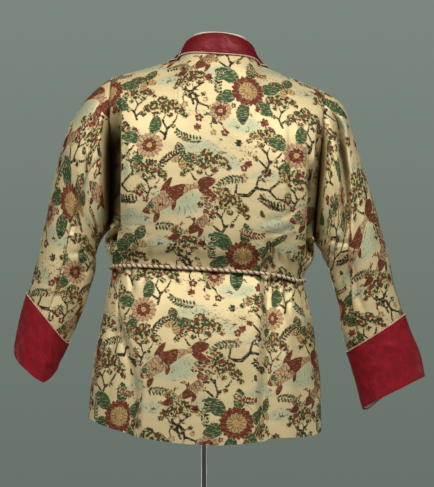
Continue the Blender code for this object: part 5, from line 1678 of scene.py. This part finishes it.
def small_knot(name, middle, reach, radius):
    """An overhand knot of the same cord, drawn tight."""
    t = np.linspace(0.0, 2.0 * np.pi, KNOT_SPOTS)
    loop = (np.sin(t) + 2.0 * np.sin(2.0 * t), -np.sin(3.0 * t) * 2.0, np.cos(t) - 2.0 * np.cos(2.0 * t))
    loop = np.stack(loop, axis=1)
    route = middle + loop * ((np.array(reach) - radius) / np.abs(loop).max(axis=0))
    knot = twisted_cord(name, route, (0.0, 1.0, 0.05), radius, CORD_PITCH, TIE_YARNS, True)
    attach(knot, "root")
    return knot


knot_out = KNOT[1] + CORD_CLEAR
knot = small_knot("waist_tie_knot", on_front(0.0, WAIST, knot_out), KNOT, KNOT_CORD)
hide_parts("waist_knot")

for name, spots in (
    ("left", ((0.006, 0.0146), (0.010, 0.040), (0.019, 0.090), (0.024, 0.150), (0.022, 0.215))),
    ("right", ((-0.006, 0.0146), (-0.009, 0.040), (-0.014, 0.085), (-0.022, 0.140), (-0.026, 0.190))),
):
    settled = [max(CORD_RADIUS + CORD_CLEAR, knot_out - END_SETTLE * drop) for _, drop in spots]
    hung = np.array([on_front(x, WAIST - drop, out) for (x, drop), out in zip(spots, settled)])
    table = np.column_stack((np.arange(len(hung)), hung))
    route = read_table(table, np.linspace(0.0, len(hung) - 1.0, END_SPOTS))[:, 1:]
    end = twisted_cord("tie_end_" + name, route, (0.0, 1.0, 0.0), CORD_RADIUS, CORD_PITCH, TIE_YARNS)
    stop = small_knot("tie_end_" + name + "_knot", route[-1], STOP_KNOT, STOP_CORD)
    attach(end, "root")
    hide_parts("cord_end_" + name)


# Floor: a plain pale studio floor under the stand, lit softly from both sides against a plain
# grey-green ground, as in the photograph.
FLOOR_RADIUS, GROUND_LIGHT = 1.2, 0.30  # the ground lights the jacket less than it shows
KEY, FILL, WHITE = (1.0, 0.98, 0.94), (1.0, 0.98, 0.95), (1.0, 1.0, 1.0)
SOFTBOXES = (  # name, place, aim, width and height, watts, colour
    ("key_softbox", (-1.35, 2.25, 2.95), (0.0, 0.0, 1.25), (1.0, 1.0), 83.0, KEY),
    ("fill_softbox", (1.35, 2.25, 2.95), (0.0, 0.0, 1.25), (1.0, 1.0), 70.0, FILL),
    ("left_strip", (1.6, -0.5, 0.45), (0.0, 0.0, 0.45), (0.12, 0.7), 2.5, WHITE),
    ("right_strip", (-1.6, -0.5, 0.45), (0.0, 0.0, 0.45), (0.12, 0.7), 2.5, WHITE),
    ("far_softbox", (0.6, -3.6, 1.5), (0.0, 0.0, 1.05), (1.4, 1.8), 45.0, FILL),
)
CAMERA, FILM_WIDTH, PICTURE_WIDTH = (-0.026, 3.2, 1.079), 24.0, 0.974  # the photo's place; film in mm
paint, tree, shader = finish("pale_floor", {"Roughness": 0.7, "Specular IOR Level": 0.3})
where = put(tree, "TexCoord").outputs["Object"]
mottle = noise(tree, where, 3.0, 5.0)
pale = tint(tree, spread(tree, mottle, 0.3, 0.7), (0.50, 0.52, 0.50, 1.0), (0.56, 0.58, 0.56, 1.0))
tree.links.new(pale, shader.inputs["Base Color"])
bm = bmesh.new()
bmesh.ops.create_circle(bm, cap_ends=True, segments=128, radius=FLOOR_RADIUS)
floor = add_piece("studio_floor", bm, paint)

world = bpy.data.worlds.new("studio_ground")
world.use_nodes = True
bpy.context.scene.world = world
tree = world.node_tree
facing = put(tree, "SeparateXYZ", {0: put(tree, "TexCoord").outputs["Generated"]}).outputs[2]
height = spread(tree, facing, -0.20, 0.22)
ground = tint(tree, height, (0.135, 0.170, 0.145, 1.0), (0.205, 0.250, 0.215, 1.0))
tree.links.new(ground, tree.nodes["Background"].inputs["Color"])
seen = put(tree, "LightPath").outputs["Is Camera Ray"]
strength = spread(tree, seen, 0.0, 1.0, GROUND_LIGHT, 1.0)
tree.links.new(strength, tree.nodes["Background"].inputs["Strength"])

for name, spot, aim, size, watts, colour in SOFTBOXES:
    lamp = bpy.data.lights.new(name, "AREA")
    lamp.shape = "RECTANGLE"
    lamp.size, lamp.size_y = size
    lamp.energy = watts
    lamp.color = colour
    rig = bpy.data.objects.new(name, lamp)
    rig.location = spot
    rig.rotation_euler = (Vector(aim) - Vector(spot)).to_track_quat("-Z", "Y").to_euler()
    bpy.context.scene.collection.objects.link(rig)

view = bpy.data.cameras.new("photo_camera")
view.sensor_width = FILM_WIDTH
view.lens = FILM_WIDTH * CAMERA[1] / PICTURE_WIDTH
camera = bpy.data.objects.new("photo_camera", view)
camera.location = CAMERA
camera.rotation_euler = (math.radians(90.0), 0.0, math.radians(180.0))
bpy.context.scene.collection.objects.link(camera)
bpy.context.scene.camera = camera
bpy.context.scene.view_settings.view_transform = "Standard"
